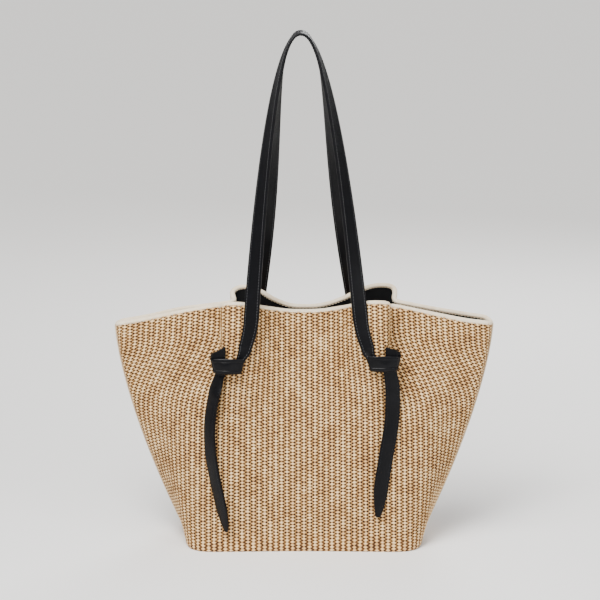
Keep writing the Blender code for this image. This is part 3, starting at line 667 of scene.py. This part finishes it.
def stitches(name, places, along, out, look, body, slot, long, wide):
    """A run of stitches, copies of one small rounded bar, each laid along its seam."""
    start_clean()
    bpy.ops.mesh.primitive_uv_sphere_add(segments=6, ring_count=4, radius=0.5)
    bar = bpy.context.active_object
    shape = np.array([v.co for v in bar.data.vertices])
    faces = [list(f.vertices) for f in bar.data.polygons]
    bpy.data.objects.remove(bar)
    side = unit(np.cross(along, out))
    sized = (shape * (wide, wide, long))[None]
    points = (places[:, None] + side[:, None] * sized[..., :1] + out[:, None] * sized[..., 1:2]
              + along[:, None] * sized[..., 2:])
    every = [[i + k * len(shape) for i in face] for k in range(len(places)) for face in faces]
    mesh = bpy.data.meshes.new(name)
    mesh.from_pydata(points.reshape(-1, 3).tolist(), [], every)
    piece = bpy.data.objects.new(name, mesh)
    bpy.context.scene.collection.objects.link(piece)
    face_outwards(piece)
    return finish_piece(piece, look, body)


# ---- woven walls ----
def relief(across, up):
    """How far the cord stands out of the weave, from 0 in a gap to 1 on a rib."""
    number = np.floor(across / RIB + 0.5)
    from_rib = np.abs(across - number * RIB)
    turn = up / STEP + 0.5 * np.mod(number, 2)
    from_hole = np.abs(turn - np.floor(turn) - 0.5) * STEP
    beside = np.maximum(from_rib - HOLE_OFF, 0)
    from_strand = np.abs(from_hole - (STEP / 2 - beside * STRAND_SLOPE))
    foot = 1 - smoothstep((up - 0.004) / 0.022)
    width = np.maximum(CORD_HALF - from_rib * CORD_TAPER, CORD_LEAST) + 0.0009 * foot
    raised = np.clip(1 - (from_strand / width) ** 2, 0, 1)
    crown = np.cos(np.clip(from_rib / (0.5 * RIB), 0, 1) * math.pi / 2) ** 2
    return 0.55 * raised + 0.45 * crown


def cloth_columns(side, hand, t, reach):
    """The wall's shares at these distances across the cloth, at one height."""
    dense = np.linspace(0, 1, 600)
    return np.interp(reach, lengths_along(wall(side, hand, dense, t)), dense)


def woven_panel(side, look, knots):
    """One woven side of the bag, from seam to seam, with its ribs raised and its slots open."""
    offsets = np.array([0, HOLE_OFF, RIB / 2, RIB - HOLE_OFF])
    half = np.concatenate([k * RIB + offsets for k in range(RIBS)])
    heights = np.arange(0, CLOTH_HEIGHT - STEP / 2, STEP / 4)
    near = 0.002              # the step over which the wall's slope is taken
    halves = []
    for hand in (LEFT, RIGHT):
        shares = np.stack([cloth_columns(side, hand, up / CLOTH_HEIGHT, half) for up in heights])
        t = np.broadcast_to(heights[:, None] / CLOTH_HEIGHT, shares.shape)
        points = wall(side, hand, shares, t)
        across = wall(side, hand, np.clip(shares + near, 0, 1), t)
        across = across - wall(side, hand, np.clip(shares - near, 0, 1), t)
        rising = wall(side, hand, shares, t + near) - wall(side, hand, shares, t - near)
        normal = unit(np.cross(across, rising)) * hand * -side
        raised = relief(*np.broadcast_arrays(half[None], heights[:, None]))
        edge = np.minimum(1, (1 - shares) * 60)
        turned = np.clip(1 - heights / 0.004, 0, 1)[:, None] ** 2 * 0.0016
        lift = CORD_RELIEF * raised * edge - CORD_RELIEF / 2 - turned
        halves.append(points + normal * lift[..., None])
    points = np.concatenate([halves[0][:, ::-1], halves[1][:, 1:]], axis=1)
    reach = np.concatenate([-half[::-1], half[1:]])
    cloth = np.stack(np.meshgrid(reach, heights), axis=-1)
    if side == BACK:
        points, cloth = points[:, ::-1], cloth[:, ::-1]
    piece = bent_grid(f"{SIDE_NAMES[side]}_weave", points.shape[1] - 1, points.shape[0] - 1,
                      points, cloth)
    wide = BRIDGE_THICK / 2 + SLOT_CLEARANCE

    def in_slot(middle):
        out, depth = abs(middle.x), abs(middle.y)
        for knot in knots:
            if knot.side != side or middle.x * knot.hand < 0:
                continue
            if not knot.slot_low < middle.z < knot.top + 0.003:
                continue
            if abs(out - knot.inner) < wide and depth > 0.03:
                return True
            if abs(depth - knot.bridge) < wide and abs(out - knot.most_side) < 0.010:
                return True
        return False

    tidy_mesh(piece, drop=in_slot)
    finish_piece(piece, look, "bag")
    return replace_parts(piece, f"{SIDE_NAMES[side]}_panel")


def lining_panel(side, look):
    """The black lining of one side, hung a little slack between the seams."""
    columns, rows = 150, 70
    shares = np.linspace(0, 1, columns + 1)
    heights = np.linspace(0.006, 0.985, rows + 1)
    halves = []
    for hand in (LEFT, RIGHT):
        grid, t = np.meshgrid(shares, heights)
        sag = LINING / 2 * np.sin(grid * 47 + t * 11) * np.sin(t * math.pi)
        depth = PANEL + CAVITY + LINING / 2 + sag
        halves.append(wall(side, hand, grid, t) - depth[..., None] * outward(side, hand, grid, t))
    points = np.concatenate([halves[0][:, ::-1], halves[1][:, 1:]], axis=1)
    reach = np.linspace(-0.33, 0.33, 2 * columns + 1)
    cloth = np.stack(np.meshgrid(reach, heights * 0.32), axis=-1)
    if side == FRONT:
        points, cloth = points[:, ::-1], cloth[:, ::-1]
    piece = bent_grid(f"{SIDE_NAMES[side]}_lining", 2 * columns, rows, points, cloth)
    finish_piece(piece, look, "bag")
    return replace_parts(piece, f"lining_{SIDE_NAMES[side]}")


def around_bag(per_quarter, t, inset):
    """Points once round the bag at one height share, anticlockwise from above."""
    order = ((FRONT, LEFT, -1), (FRONT, RIGHT, 1), (BACK, RIGHT, -1), (BACK, LEFT, 1))
    run = []
    for side, hand, way in order:
        shares = np.linspace(0, 1, per_quarter + 1)[::way]
        points = wall(side, hand, shares, t) - inset * outward(side, hand, shares, t)
        run.append(points[:-1])
    return np.concatenate(run)


def woven_base(look):
    """The woven bottom, a flat sheet that turns up a little at its edge."""
    ring = around_bag(60, 0.0, PANEL)
    ring = np.vstack([ring, ring[:1]])
    rows = 14
    share = np.linspace(0.0, 1.0, rows + 1)[:, None, None]
    points = ring[None] * (0.001 + 0.999 * share)
    thick, edge = 0.0012, 0.93
    points[..., 2] = 0.0014 + thick * smoothstep((share[..., 0] - edge) / 0.07)
    cloth = points[..., :2].copy()
    piece = bent_grid("woven_base", ring.shape[0] - 1, rows, points[:, ::-1], cloth[:, ::-1])
    add_modifier(piece, "SOLIDIFY", thickness=thick, offset=-1.0)
    tidy_mesh(piece)
    finish_piece(piece, look, "bag")
    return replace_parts(piece, "base_panel")


# ---- piping ----
def piping_path():
    """The middle line of the corded edge, and the directions along, level with and up from it."""
    path = around_bag(110, 1.0, (PANEL + CAVITY + LINING) / 2)
    path[:, 2] -= PIPING_RADIUS
    ahead = unit(np.roll(path, -1, axis=0) - np.roll(path, 1, axis=0))
    level = unit(np.cross(ahead, (0, 0, 1.0)))
    return path, ahead, level, np.cross(level, ahead)


def rim_binding(look):
    """The corded edge: a torus laid round the mouth, puckered a little along its seam."""
    path, ahead, level, upright = piping_path()
    count, sides = len(path), 14
    start_clean()
    bpy.ops.mesh.primitive_torus_add(major_segments=count, minor_segments=sides,
                                     major_radius=1.0, minor_radius=0.25)
    piece = bpy.context.active_object
    piece.name = piece.data.name = "rim_binding"
    flat = np.array([v.co for v in piece.data.vertices])
    turn = np.mod(np.arctan2(flat[:, 1], flat[:, 0]) / (2 * math.pi), 1)
    ring = np.rint(turn * count).astype(int) % count
    out = np.hypot(flat[:, 0], flat[:, 1]) - 1
    angle = np.arctan2(flat[:, 2], out)
    along = lengths_along(path)
    sewn = np.clip(-np.sin(angle), 0, 1)
    pucker = 1 + 0.035 * np.sin(along / 0.0052 * 2 * math.pi)[ring] * sewn
    wander = 1 + 0.03 * np.sin(along / 0.037 + 1.3 * np.sin(along / 0.011))[ring]
    radius = PIPING_RADIUS * pucker * wander
    reach = radius * (1 + 0.10 * np.abs(np.cos(angle)))
    points = (path[ring] + level[ring] * (np.cos(angle) * reach)[:, None]
              + upright[ring] * (np.sin(angle) * radius)[:, None])
    piece.data.vertices.foreach_set("co", points.ravel())
    lay_cloth(piece, np.stack([along[ring], angle * PIPING_RADIUS], axis=-1))
    face_outwards(piece)
    finish_piece(piece, look, "bag")
    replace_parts(piece, "rim_piping")
    steps = np.arange(0, along[-1], 0.0042)
    for name, way in (("outer", 1), ("inner", -1)):
        lower = path + level * way * PIPING_RADIUS * 0.95 - upright * PIPING_RADIUS * 0.72
        at, tangent, facing = taken_at(steps, along, lower, ahead, level * way)
        stitches(f"rim_{name}_stitches", at, unit(tangent), unit(facing), look, "bag",
                 "cream_cotton", long=0.0024, wide=0.0006)


def side_seam(hand, look):
    """The rolled edge of a side seam, where the two woven panels are sewn together."""
    rows, sides = 180, 12
    tall = QUARTERS[FRONT, hand]["tip"]
    heights = np.linspace(0.002, tall - PIPING_RADIUS, rows + 1)
    path = wall(FRONT, hand, np.ones(rows + 1), heights / tall)
    path[:, 0] += hand * SEAM_RADIUS * 0.2
    ends = np.minimum(heights - heights[0], heights[-1] - heights) / SEAM_RADIUS
    pucker = 1 + 0.05 * np.sin(heights / 0.0046 * 2 * math.pi)
    radius = (SEAM_RADIUS * pucker * np.sqrt(np.clip(ends, 0.01, 1)))[:, None, None]
    angle = np.linspace(-math.pi, math.pi, sides + 1)
    way = hand * np.stack([np.cos(angle), np.sin(angle), 0 * angle], axis=-1)
    # Painted shade: the cotton takes the same painted shade as the corded edge's underside, here
    # where it meets either panel.
    around = PIPING_RADIUS * (math.pi / 2 - 2 * np.abs(angle))
    cloth = np.stack(np.broadcast_arrays(heights[:, None], around[None]), axis=-1)
    points = path[:, None] + radius * way
    piece = bent_grid(f"{HAND_NAMES[hand]}_seam", sides, rows, points, cloth)
    tidy_mesh(piece)
    return finish_piece(piece, look, "bag")


# ---- straps ----
def strap_depth(side, z):
    """Distance of the strap's middle line from the bag's middle plane."""
    half = STRAP_THICK / 2
    top = STRAP_WIDTH / 2 + STRAP_PLAY
    rim = max(q["top"] for q in QUARTERS.values())
    lie = STRAP_WIDTH / 2 * math.sin(STRAP_TURN_FOOT) + half + STRAP_PLAY
    span = STRAP_HALF_SPAN[side]
    reach = STRAP_WIDTH / 2 + 0.004
    foot = max(depth_near(side, hand, span, HINGE_HEIGHT, reach) for hand in (LEFT, RIGHT)) + lie
    crest = max(depth_near(side, hand, span, rim - 0.004, reach) for hand in (LEFT, RIGHT))
    crest = crest - (PANEL + CAVITY + LINING) / 2 + PIPING_RADIUS + lie + STRAP_PLAY
    return np.interp(z, (HINGE_HEIGHT, rim, APEX_HEIGHT), (foot, crest, top))


def strap_line(side, count):
    """The strap's middle line in x and z, how far up the arch each point is, and its side."""
    span, tall = STRAP_HALF_SPAN[side], APEX_HEIGHT - STRAP_THICK / 2 - HINGE_HEIGHT
    out = np.sin(np.linspace(-math.pi / 2, math.pi / 2, 1201))
    out = np.sign(out) * np.abs(out) ** 0.75
    rise = 1 - np.abs(out) ** ARCH_POWER
    drawn = STRAP_BOW[side] * np.sin(math.pi * np.clip(rise / BOW_TOP, 0, 1))
    hook = STRAP_HOOK * np.clip(1 - rise * tall / HOOK_RISE, 0, 1) ** 2
    sway = STRAP_SWAY["foot"] + (STRAP_SWAY["top"] - STRAP_SWAY["foot"]) * rise
    x = out * span - np.sign(out) * (drawn - hook) + sway
    run = np.stack([x, HINGE_HEIGHT + tall * rise, rise, out], axis=-1)
    return at_shares(run, np.linspace(0, 1, count))


class Knot:
    """The places that one knot's parts share."""

    def __init__(self, side, hand):
        fold = QUARTERS[side, hand]["fold"]
        self.side, self.hand = side, hand
        self.inner = fold - SLOT_BEFORE_FOLD
        self.middle = fold - BAND_BEFORE_FOLD
        lift = KNOT_LIFT[side, hand]
        self.top, self.low = KNOT_TOP + lift, KNOT_TOP + lift - KNOT_HEIGHT
        self.slot_low = BRIDGE_FOOT + lift
        heights = (self.low, self.top, BRIDGE_TOP)
        reach = KNOT_TOP_WIDTH / 2 + 0.004
        self.cloth = max(depth_near(side, hand, self.middle, z, reach) for z in heights)
        self.back = self.cloth + KNOT_SLACK
        self.bridge = self.cloth - SLOT_BEHIND_CREST
        self.most_side = max(pleat_side(side, hand, self.bridge, z) for z in heights)
        self.name = f"{SIDE_NAMES[side]}_{HAND_NAMES[hand]}"

    def places(self, x, depth, z):
        """Points at these distances out, depths and heights, on this knot's side and hand."""
        parts = np.broadcast_arrays(self.hand * np.asarray(x), self.side * np.asarray(depth), z)
        return np.stack(parts, axis=-1).astype(float)


def frames(centres, acrosses):
    """Unit directions at each centre: along their line, across it, and square to both."""
    tangents = unit(np.gradient(centres, axis=0))
    acrosses = unit(acrosses - np.sum(acrosses * tangents, axis=1, keepdims=True) * tangents)
    return tangents, acrosses, np.cross(tangents, acrosses)


def strap(side, knots, leather, thread):
    """One strap's long arch, with its two feet drawn in behind the knots' bands."""
    line = strap_line(side, 260)
    x, z, rise, out = line.T
    turn = STRAP_TURN_FOOT + STRAP_TURN_RISE * rise + STRAP_TURN_TOP * rise ** 8
    centres = np.stack([x, side * strap_depth(side, z), z], axis=-1)
    hand = np.where(out > 0, 1, -1)
    acrosses = np.stack([-np.cos(turn) * hand, side * np.sin(turn), 0 * turn], axis=-1)
    narrow = np.clip(1 - (z - HINGE_HEIGHT) / HOOK_RISE, 0, 1)
    widths = STRAP_WIDTH + (STRAP_FOOT_WIDTH - STRAP_WIDTH) * narrow
    hinge = strap_depth(side, HINGE_HEIGHT)
    down = np.linspace(0, 1, 15)[1:]
    ends = []
    for knot in knots:
        foot = np.array([x[0] if knot.hand < 0 else x[-1]]) * knot.hand
        drop = HINGE_HEIGHT - (HINGE_HEIGHT - knot.top + 0.009) * down
        slide = foot + (knot.inner + 0.001 - foot) * smoothstep(down * 1.1)
        tucked = knot.back + STRAP_THICK / 2 - 0.0006
        depth = hinge + (tucked - hinge) * smoothstep(down)
        curl = turn[0] * (1 - down) + math.radians(38) * down
        ends.append((knot.places(slide, depth, drop),
                     np.stack([-np.cos(curl) * knot.hand, side * np.sin(curl), 0 * curl], axis=-1),
                     STRAP_FOOT_WIDTH - (STRAP_FOOT_WIDTH - 0.0105) * smoothstep(down)))
    (left, left_across, left_wide), (right, right_across, right_wide) = ends
    centres = np.concatenate([left[::-1], centres, right])
    acrosses = np.concatenate([left_across[::-1], acrosses, right_across])
    widths = np.concatenate([left_wide[::-1], widths, right_wide])
    tangents, acrosses, normals = frames(centres, acrosses)
    name = SIDE_NAMES[side]
    piece = strap_mesh(f"{name}_leather_strap", centres, acrosses, normals, widths, STRAP_THICK,
                       leather)
    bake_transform(piece)
    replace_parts(piece, f"{name}_strap")
    sewing = edge_stitches(f"{name}_strap_stitches", centres, tangents, acrosses, normals, widths,
                           STRAP_THICK, thread)
    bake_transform(sewing)


def edge_stitches(name, centres, tangents, acrosses, normals, widths, thick, thread):
    """Stitching near both edges of a strap, on both of its faces, where it is wide enough."""
    from_end, pitch, from_edge, least_width = 0.006, 0.0036, 0.0026, 0.009
    along = lengths_along(centres)
    steps = np.arange(from_end, along[-1] - from_end, pitch)
    taken = taken_at(steps, along, centres, tangents, acrosses, normals, widths[:, None])
    keep = taken[-1][:, 0] > least_width
    middle, run, across, out, width = (line[keep] for line in taken)
    run, across, out = unit(run), unit(across), unit(out)
    places, runs, outs = [], [], []
    for edge in (-1, 1):
        for face in (-1, 1):
            places.append(middle + across * edge * (width / 2 - from_edge)
                          + out * face * (thick / 2 + 0.00005))
            runs.append(run)
            outs.append(out * face)
    return stitches(name, *(np.concatenate(v) for v in (places, runs, outs)), thread, None,
                    "black_leather", long=0.0027, wide=0.0008)


# ---- knots and tails ----
def knot_wrap(knot, leather):
    """The strap's turn round the pleat: out of its side slot, then across the front as a band."""
    half_top, half_foot = KNOT_TOP_WIDTH / 2, KNOT_FOOT_WIDTH / 2
    side_x, front = knot.most_side, knot.back
    outer, inner = knot.middle + half_top, knot.middle - half_top
    # Distance out, depth, and how far the leather has spread from the slot to the band.
    route = [(side_x - 0.004, knot.bridge, 0), (side_x + 0.004, knot.bridge + 0.0006, 0),
             (side_x + 0.0078, knot.bridge + 0.005, 0.1), (outer - 0.0022, front - 0.006, 0.45),
             (outer - 0.0010, front - 0.001, 0.8), (outer - 0.0045, front + 0.0022, 1.0)]
    route += [(knot.middle + half_top * u, front + 0.0022 + KNOT_CROWN * (1 - u ** 2), 1.0)
              for u in np.linspace(0.82, -0.93, 12)]
    route += [(inner + 0.0002, front + 0.0005, 1.0), (inner + 0.0012, front - 0.0035, 1.0),
              (inner + 0.0050, front - 0.0050, 1.0)]
    run = through(route, samples=5)
    x, depth, level = run.T
    share = np.clip((x - knot.middle) / half_top, -1, 1)
    top = knot.top + 0.004 * (1 - smoothstep(level))
    foot = knot.slot_low + (knot.low - knot.slot_low) * smoothstep(level)
    top = top - 0.0008 * share ** 2 * (level > 0.9)
    rows = np.linspace(0, 1, 27)[:, None]
    lean = 1 - (half_top - half_foot) / half_top * (1 - rows) * smoothstep(level)
    xs = knot.middle + (x - knot.middle) * lean
    # The band's lower edge rolls forward, its upper edge a little less, and its face is wavy.
    roll = 0.0015 * np.sqrt(np.clip(1 - ((rows - 0.10) / 0.13) ** 2, 0, 1))
    roll = roll + 0.0008 * np.sqrt(np.clip(1 - ((rows - 0.92) / 0.10) ** 2, 0, 1))
    pinch = 0.0012 * np.sin(rows * math.pi) - 0.0016 * np.clip(1 - rows / 0.06, 0, 1)
    wave = 0.0004 * np.sin(share * 5.3 + 1) * np.sin(rows * 4.7)
    zs = foot + (top - foot) * rows
    points = knot.places(xs, depth + roll * level + pinch * level + wave * level, zs)
    cloth = np.stack(np.broadcast_arrays(0.002 * np.arange(1, len(x) + 1), rows * 0.02), axis=-1)
    if knot.hand * knot.side > 0:
        points, cloth = points[:, ::-1], cloth[:, ::-1]
    piece = bent_grid(f"knot_wrap_{knot.name}", len(x) - 1, len(rows) - 1, points, cloth)
    thicken(piece, BRIDGE_THICK, -0.2, WRAP_ROUNDING)
    finish_piece(piece, leather, "bag")
    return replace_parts(piece, f"knot_{knot.name}")


def knot_ear(knot, leather):
    """The folded corner above the band, where the strap turns down into it."""
    far = knot.middle + KNOT_TOP_WIDTH / 2 - 0.001
    near = far - EAR_WIDTH
    columns, rows = 14, 10
    out, up = np.meshgrid(np.linspace(0, 1, columns + 1), np.linspace(0, 1, rows + 1))
    x = near + (far - near) * out
    corner, foot = BRIDGE_TOP + 0.003, knot.top - 0.006
    top = corner + (knot.top + 0.004 - corner) * out ** 1.2
    z = foot + (top - foot) * up
    bow, tuck = 0.0016 * np.sin(out * math.pi * 0.8), 0.018 * np.clip(out - 0.8, 0, 1)
    depth = knot.back - 0.0002 + bow - tuck - 0.0012 * up ** 2
    points = knot.places(x, depth, z)
    cloth = np.stack([x, z], axis=-1)
    if knot.hand * knot.side > 0:
        points, cloth = points[:, ::-1], cloth[:, ::-1]
    piece = bent_grid(f"knot_ear_{knot.name}", columns, rows, points, cloth)
    thicken(piece, BRIDGE_THICK, 0.0, EAR_ROUNDING)
    return finish_piece(piece, leather, "bag")


def tail(knot, leather, thread):
    """The loose end that comes out below the band and hangs along the wall."""
    spec = TAILS[knot.side, knot.hand]
    top = knot.low - SWING_ROOM
    line = through([(share, x) for share, x in spec["line"]])
    tucked = 6
    shares = np.concatenate([np.linspace(-TAIL_TUCK, 0, tucked + 1)[:-1],
                             np.linspace(0, 1, 130) ** 0.9])
    clipped = np.clip(shares, 0, 1)
    x = np.interp(clipped, line[:, 0], line[:, 1])
    z = top + (spec["foot"] - top) * shares
    turn = spec["turn"] * np.minimum(1.0, clipped / TAIL_TURN_SHARE)
    lie = STRAP_WIDTH / 2 * np.sin(turn) + TAIL_THICK / 2 + TAIL_STANDOFF
    depth = np.array([depth_near(knot.side, knot.hand, a, min(b, top), STRAP_WIDTH / 2)
                      for a, b in zip(x, z)]) + lie
    behind = np.interp(-shares, (0, TAIL_TUCK), (depth[tucked], knot.back + 0.0004))
    depth = np.where(shares < 0, behind, depth)
    left = (top - spec["foot"]) * (1 - clipped)
    widths = (STRAP_WIDTH - 0.0015) * (0.10 + 0.90 * np.sqrt(np.minimum(1.0, left / spec["taper"])))
    widths = widths * (1 - 0.45 * spec["turn"] * (1 - smoothstep(shares / TAIL_TURN_SHARE)))
    centres = knot.places(x, depth, z)
    acrosses = np.stack([np.cos(turn), -knot.side * knot.hand * np.sin(turn), 0 * turn], axis=-1)
    tangents, acrosses, normals = frames(centres, acrosses)
    body = f"{knot.name}_tail"
    out, back = centres[tucked][:2]
    high, low = (out, back, top + 0.0085), (out, back, top - 0.0060)
    piece = strap_mesh(f"{body}_leather", centres, acrosses, normals, widths, TAIL_THICK,
                       leather, crown=0.0008)
    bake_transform(piece)
    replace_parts(piece, f"tail_{knot.name}")
    sewing = edge_stitches(f"{body}_stitches", centres, tangents, acrosses, normals, widths,
                           TAIL_THICK, thread)
    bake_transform(sewing)


# ---- the stage ----
FLOOR_SIZE = 60
SUN_POWER, SUN_SPREAD, SUN_WAY = 3.3, math.radians(40), (0.28, 0.52, -1.0)
SKY = 0.34
LAMP_AIM = Vector((0, 0, 0.25))
LAMPS = (("key", (-0.25, -0.80, 1.05), 0.45, 13),      # name, place, size, power
         ("fill", (1.3, -1.3, 1.0), 0.8, 12),
         ("back", (0.5, 1.5, 1.3), 0.9, 20))
VIEW_RISE = math.radians(12)
VIEW_DISTANCE, VIEW_CENTRE = 3.0, Vector((-0.005, 0, 0.311))
LENS, SENSOR = 141.9, 36.0


def facing(way):
    """The turn that points a lamp or a camera this way."""
    return way.to_track_quat("-Z", "Y").to_euler()


def set_stage():
    """A plain pale floor, a soft sun, an even sky and three soft lamps."""
    start_clean()
    bpy.ops.mesh.primitive_plane_add(size=FLOOR_SIZE)
    floor = bpy.context.active_object
    floor.name = "studio_floor"
    look = Look("studio_white", Roughness=0.9)
    look.shader.inputs["Base Color"].default_value = (0.93, 0.93, 0.93, 1)
    floor.data.materials.append(look.material)
    world = bpy.data.worlds.new("studio")
    bpy.context.scene.world = world
    world.use_nodes = True
    shade = world.node_tree.nodes["Background"]
    shade.inputs["Color"].default_value = (1.0, 1.0, 1.0, 1)
    shade.inputs["Strength"].default_value = SKY
    sun = bpy.data.objects.new("sun", bpy.data.lights.new("sun", "SUN"))
    sun.data.energy, sun.data.angle = SUN_POWER, SUN_SPREAD
    sun.data.color = (1.0, 0.97, 0.92)
    sun.rotation_euler = facing(Vector(SUN_WAY))
    bpy.context.scene.collection.objects.link(sun)
    for name, place, size, power in LAMPS:
        lamp = bpy.data.objects.new(name, bpy.data.lights.new(name, "AREA"))
        lamp.data.size, lamp.data.energy = size, power
        lamp.location = place
        lamp.rotation_euler = facing(LAMP_AIM - Vector(place))
        bpy.context.scene.collection.objects.link(lamp)


def set_camera():
    camera = bpy.data.objects.new("camera", bpy.data.cameras.new("camera"))
    camera.data.lens, camera.data.sensor_width = LENS, SENSOR
    away = Vector((0, -math.cos(VIEW_RISE), math.sin(VIEW_RISE)))
    camera.location = VIEW_CENTRE + VIEW_DISTANCE * away
    camera.rotation_euler = facing(-away)
    bpy.context.scene.collection.objects.link(camera)
    bpy.context.scene.camera = camera


def dress_nodes(looks):
    """The frame's own pieces that stay in view take the finished materials."""
    for node, look in looks.items():
        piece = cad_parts[node]
        piece.data.materials.clear()
        piece.data.materials.append(look)


def build():
    """Makes the materials and every piece of the bag."""
    straw, cotton, lining = woven_straw(), cream_cotton(), black_lining()
    leather, thread = black_leather(), waxed_thread()
    board, metal = grey_board(), snap_metal()
    hidden = ["lining_base", "slip_pocket", "snap_socket_stiffener", "snap_stud_stiffener",
              "side_seam_tape_left", "side_seam_tape_right"]
    hidden += [f"slot_patch_{side}_{hand}" for side in SIDE_NAMES.values()
               for hand in HAND_NAMES.values()]
    dress_nodes({**{node: lining for node in hidden}, "base_board": board,
                 "snap_socket": metal, "snap_stud": metal})
    knots = [Knot(side, hand) for side in (FRONT, BACK) for hand in (LEFT, RIGHT)]
    for side in (FRONT, BACK):
        woven_panel(side, straw, knots)
        lining_panel(side, lining)
        strap(side, [knot for knot in knots if knot.side == side], leather, thread)
    woven_base(straw)
    rim_binding(cotton)
    for hand in (LEFT, RIGHT):
        side_seam(hand, cotton)
    for knot in knots:
        knot_wrap(knot, leather)
        knot_ear(knot, leather)
        tail(knot, leather, thread)


build()
set_stage()
set_camera()
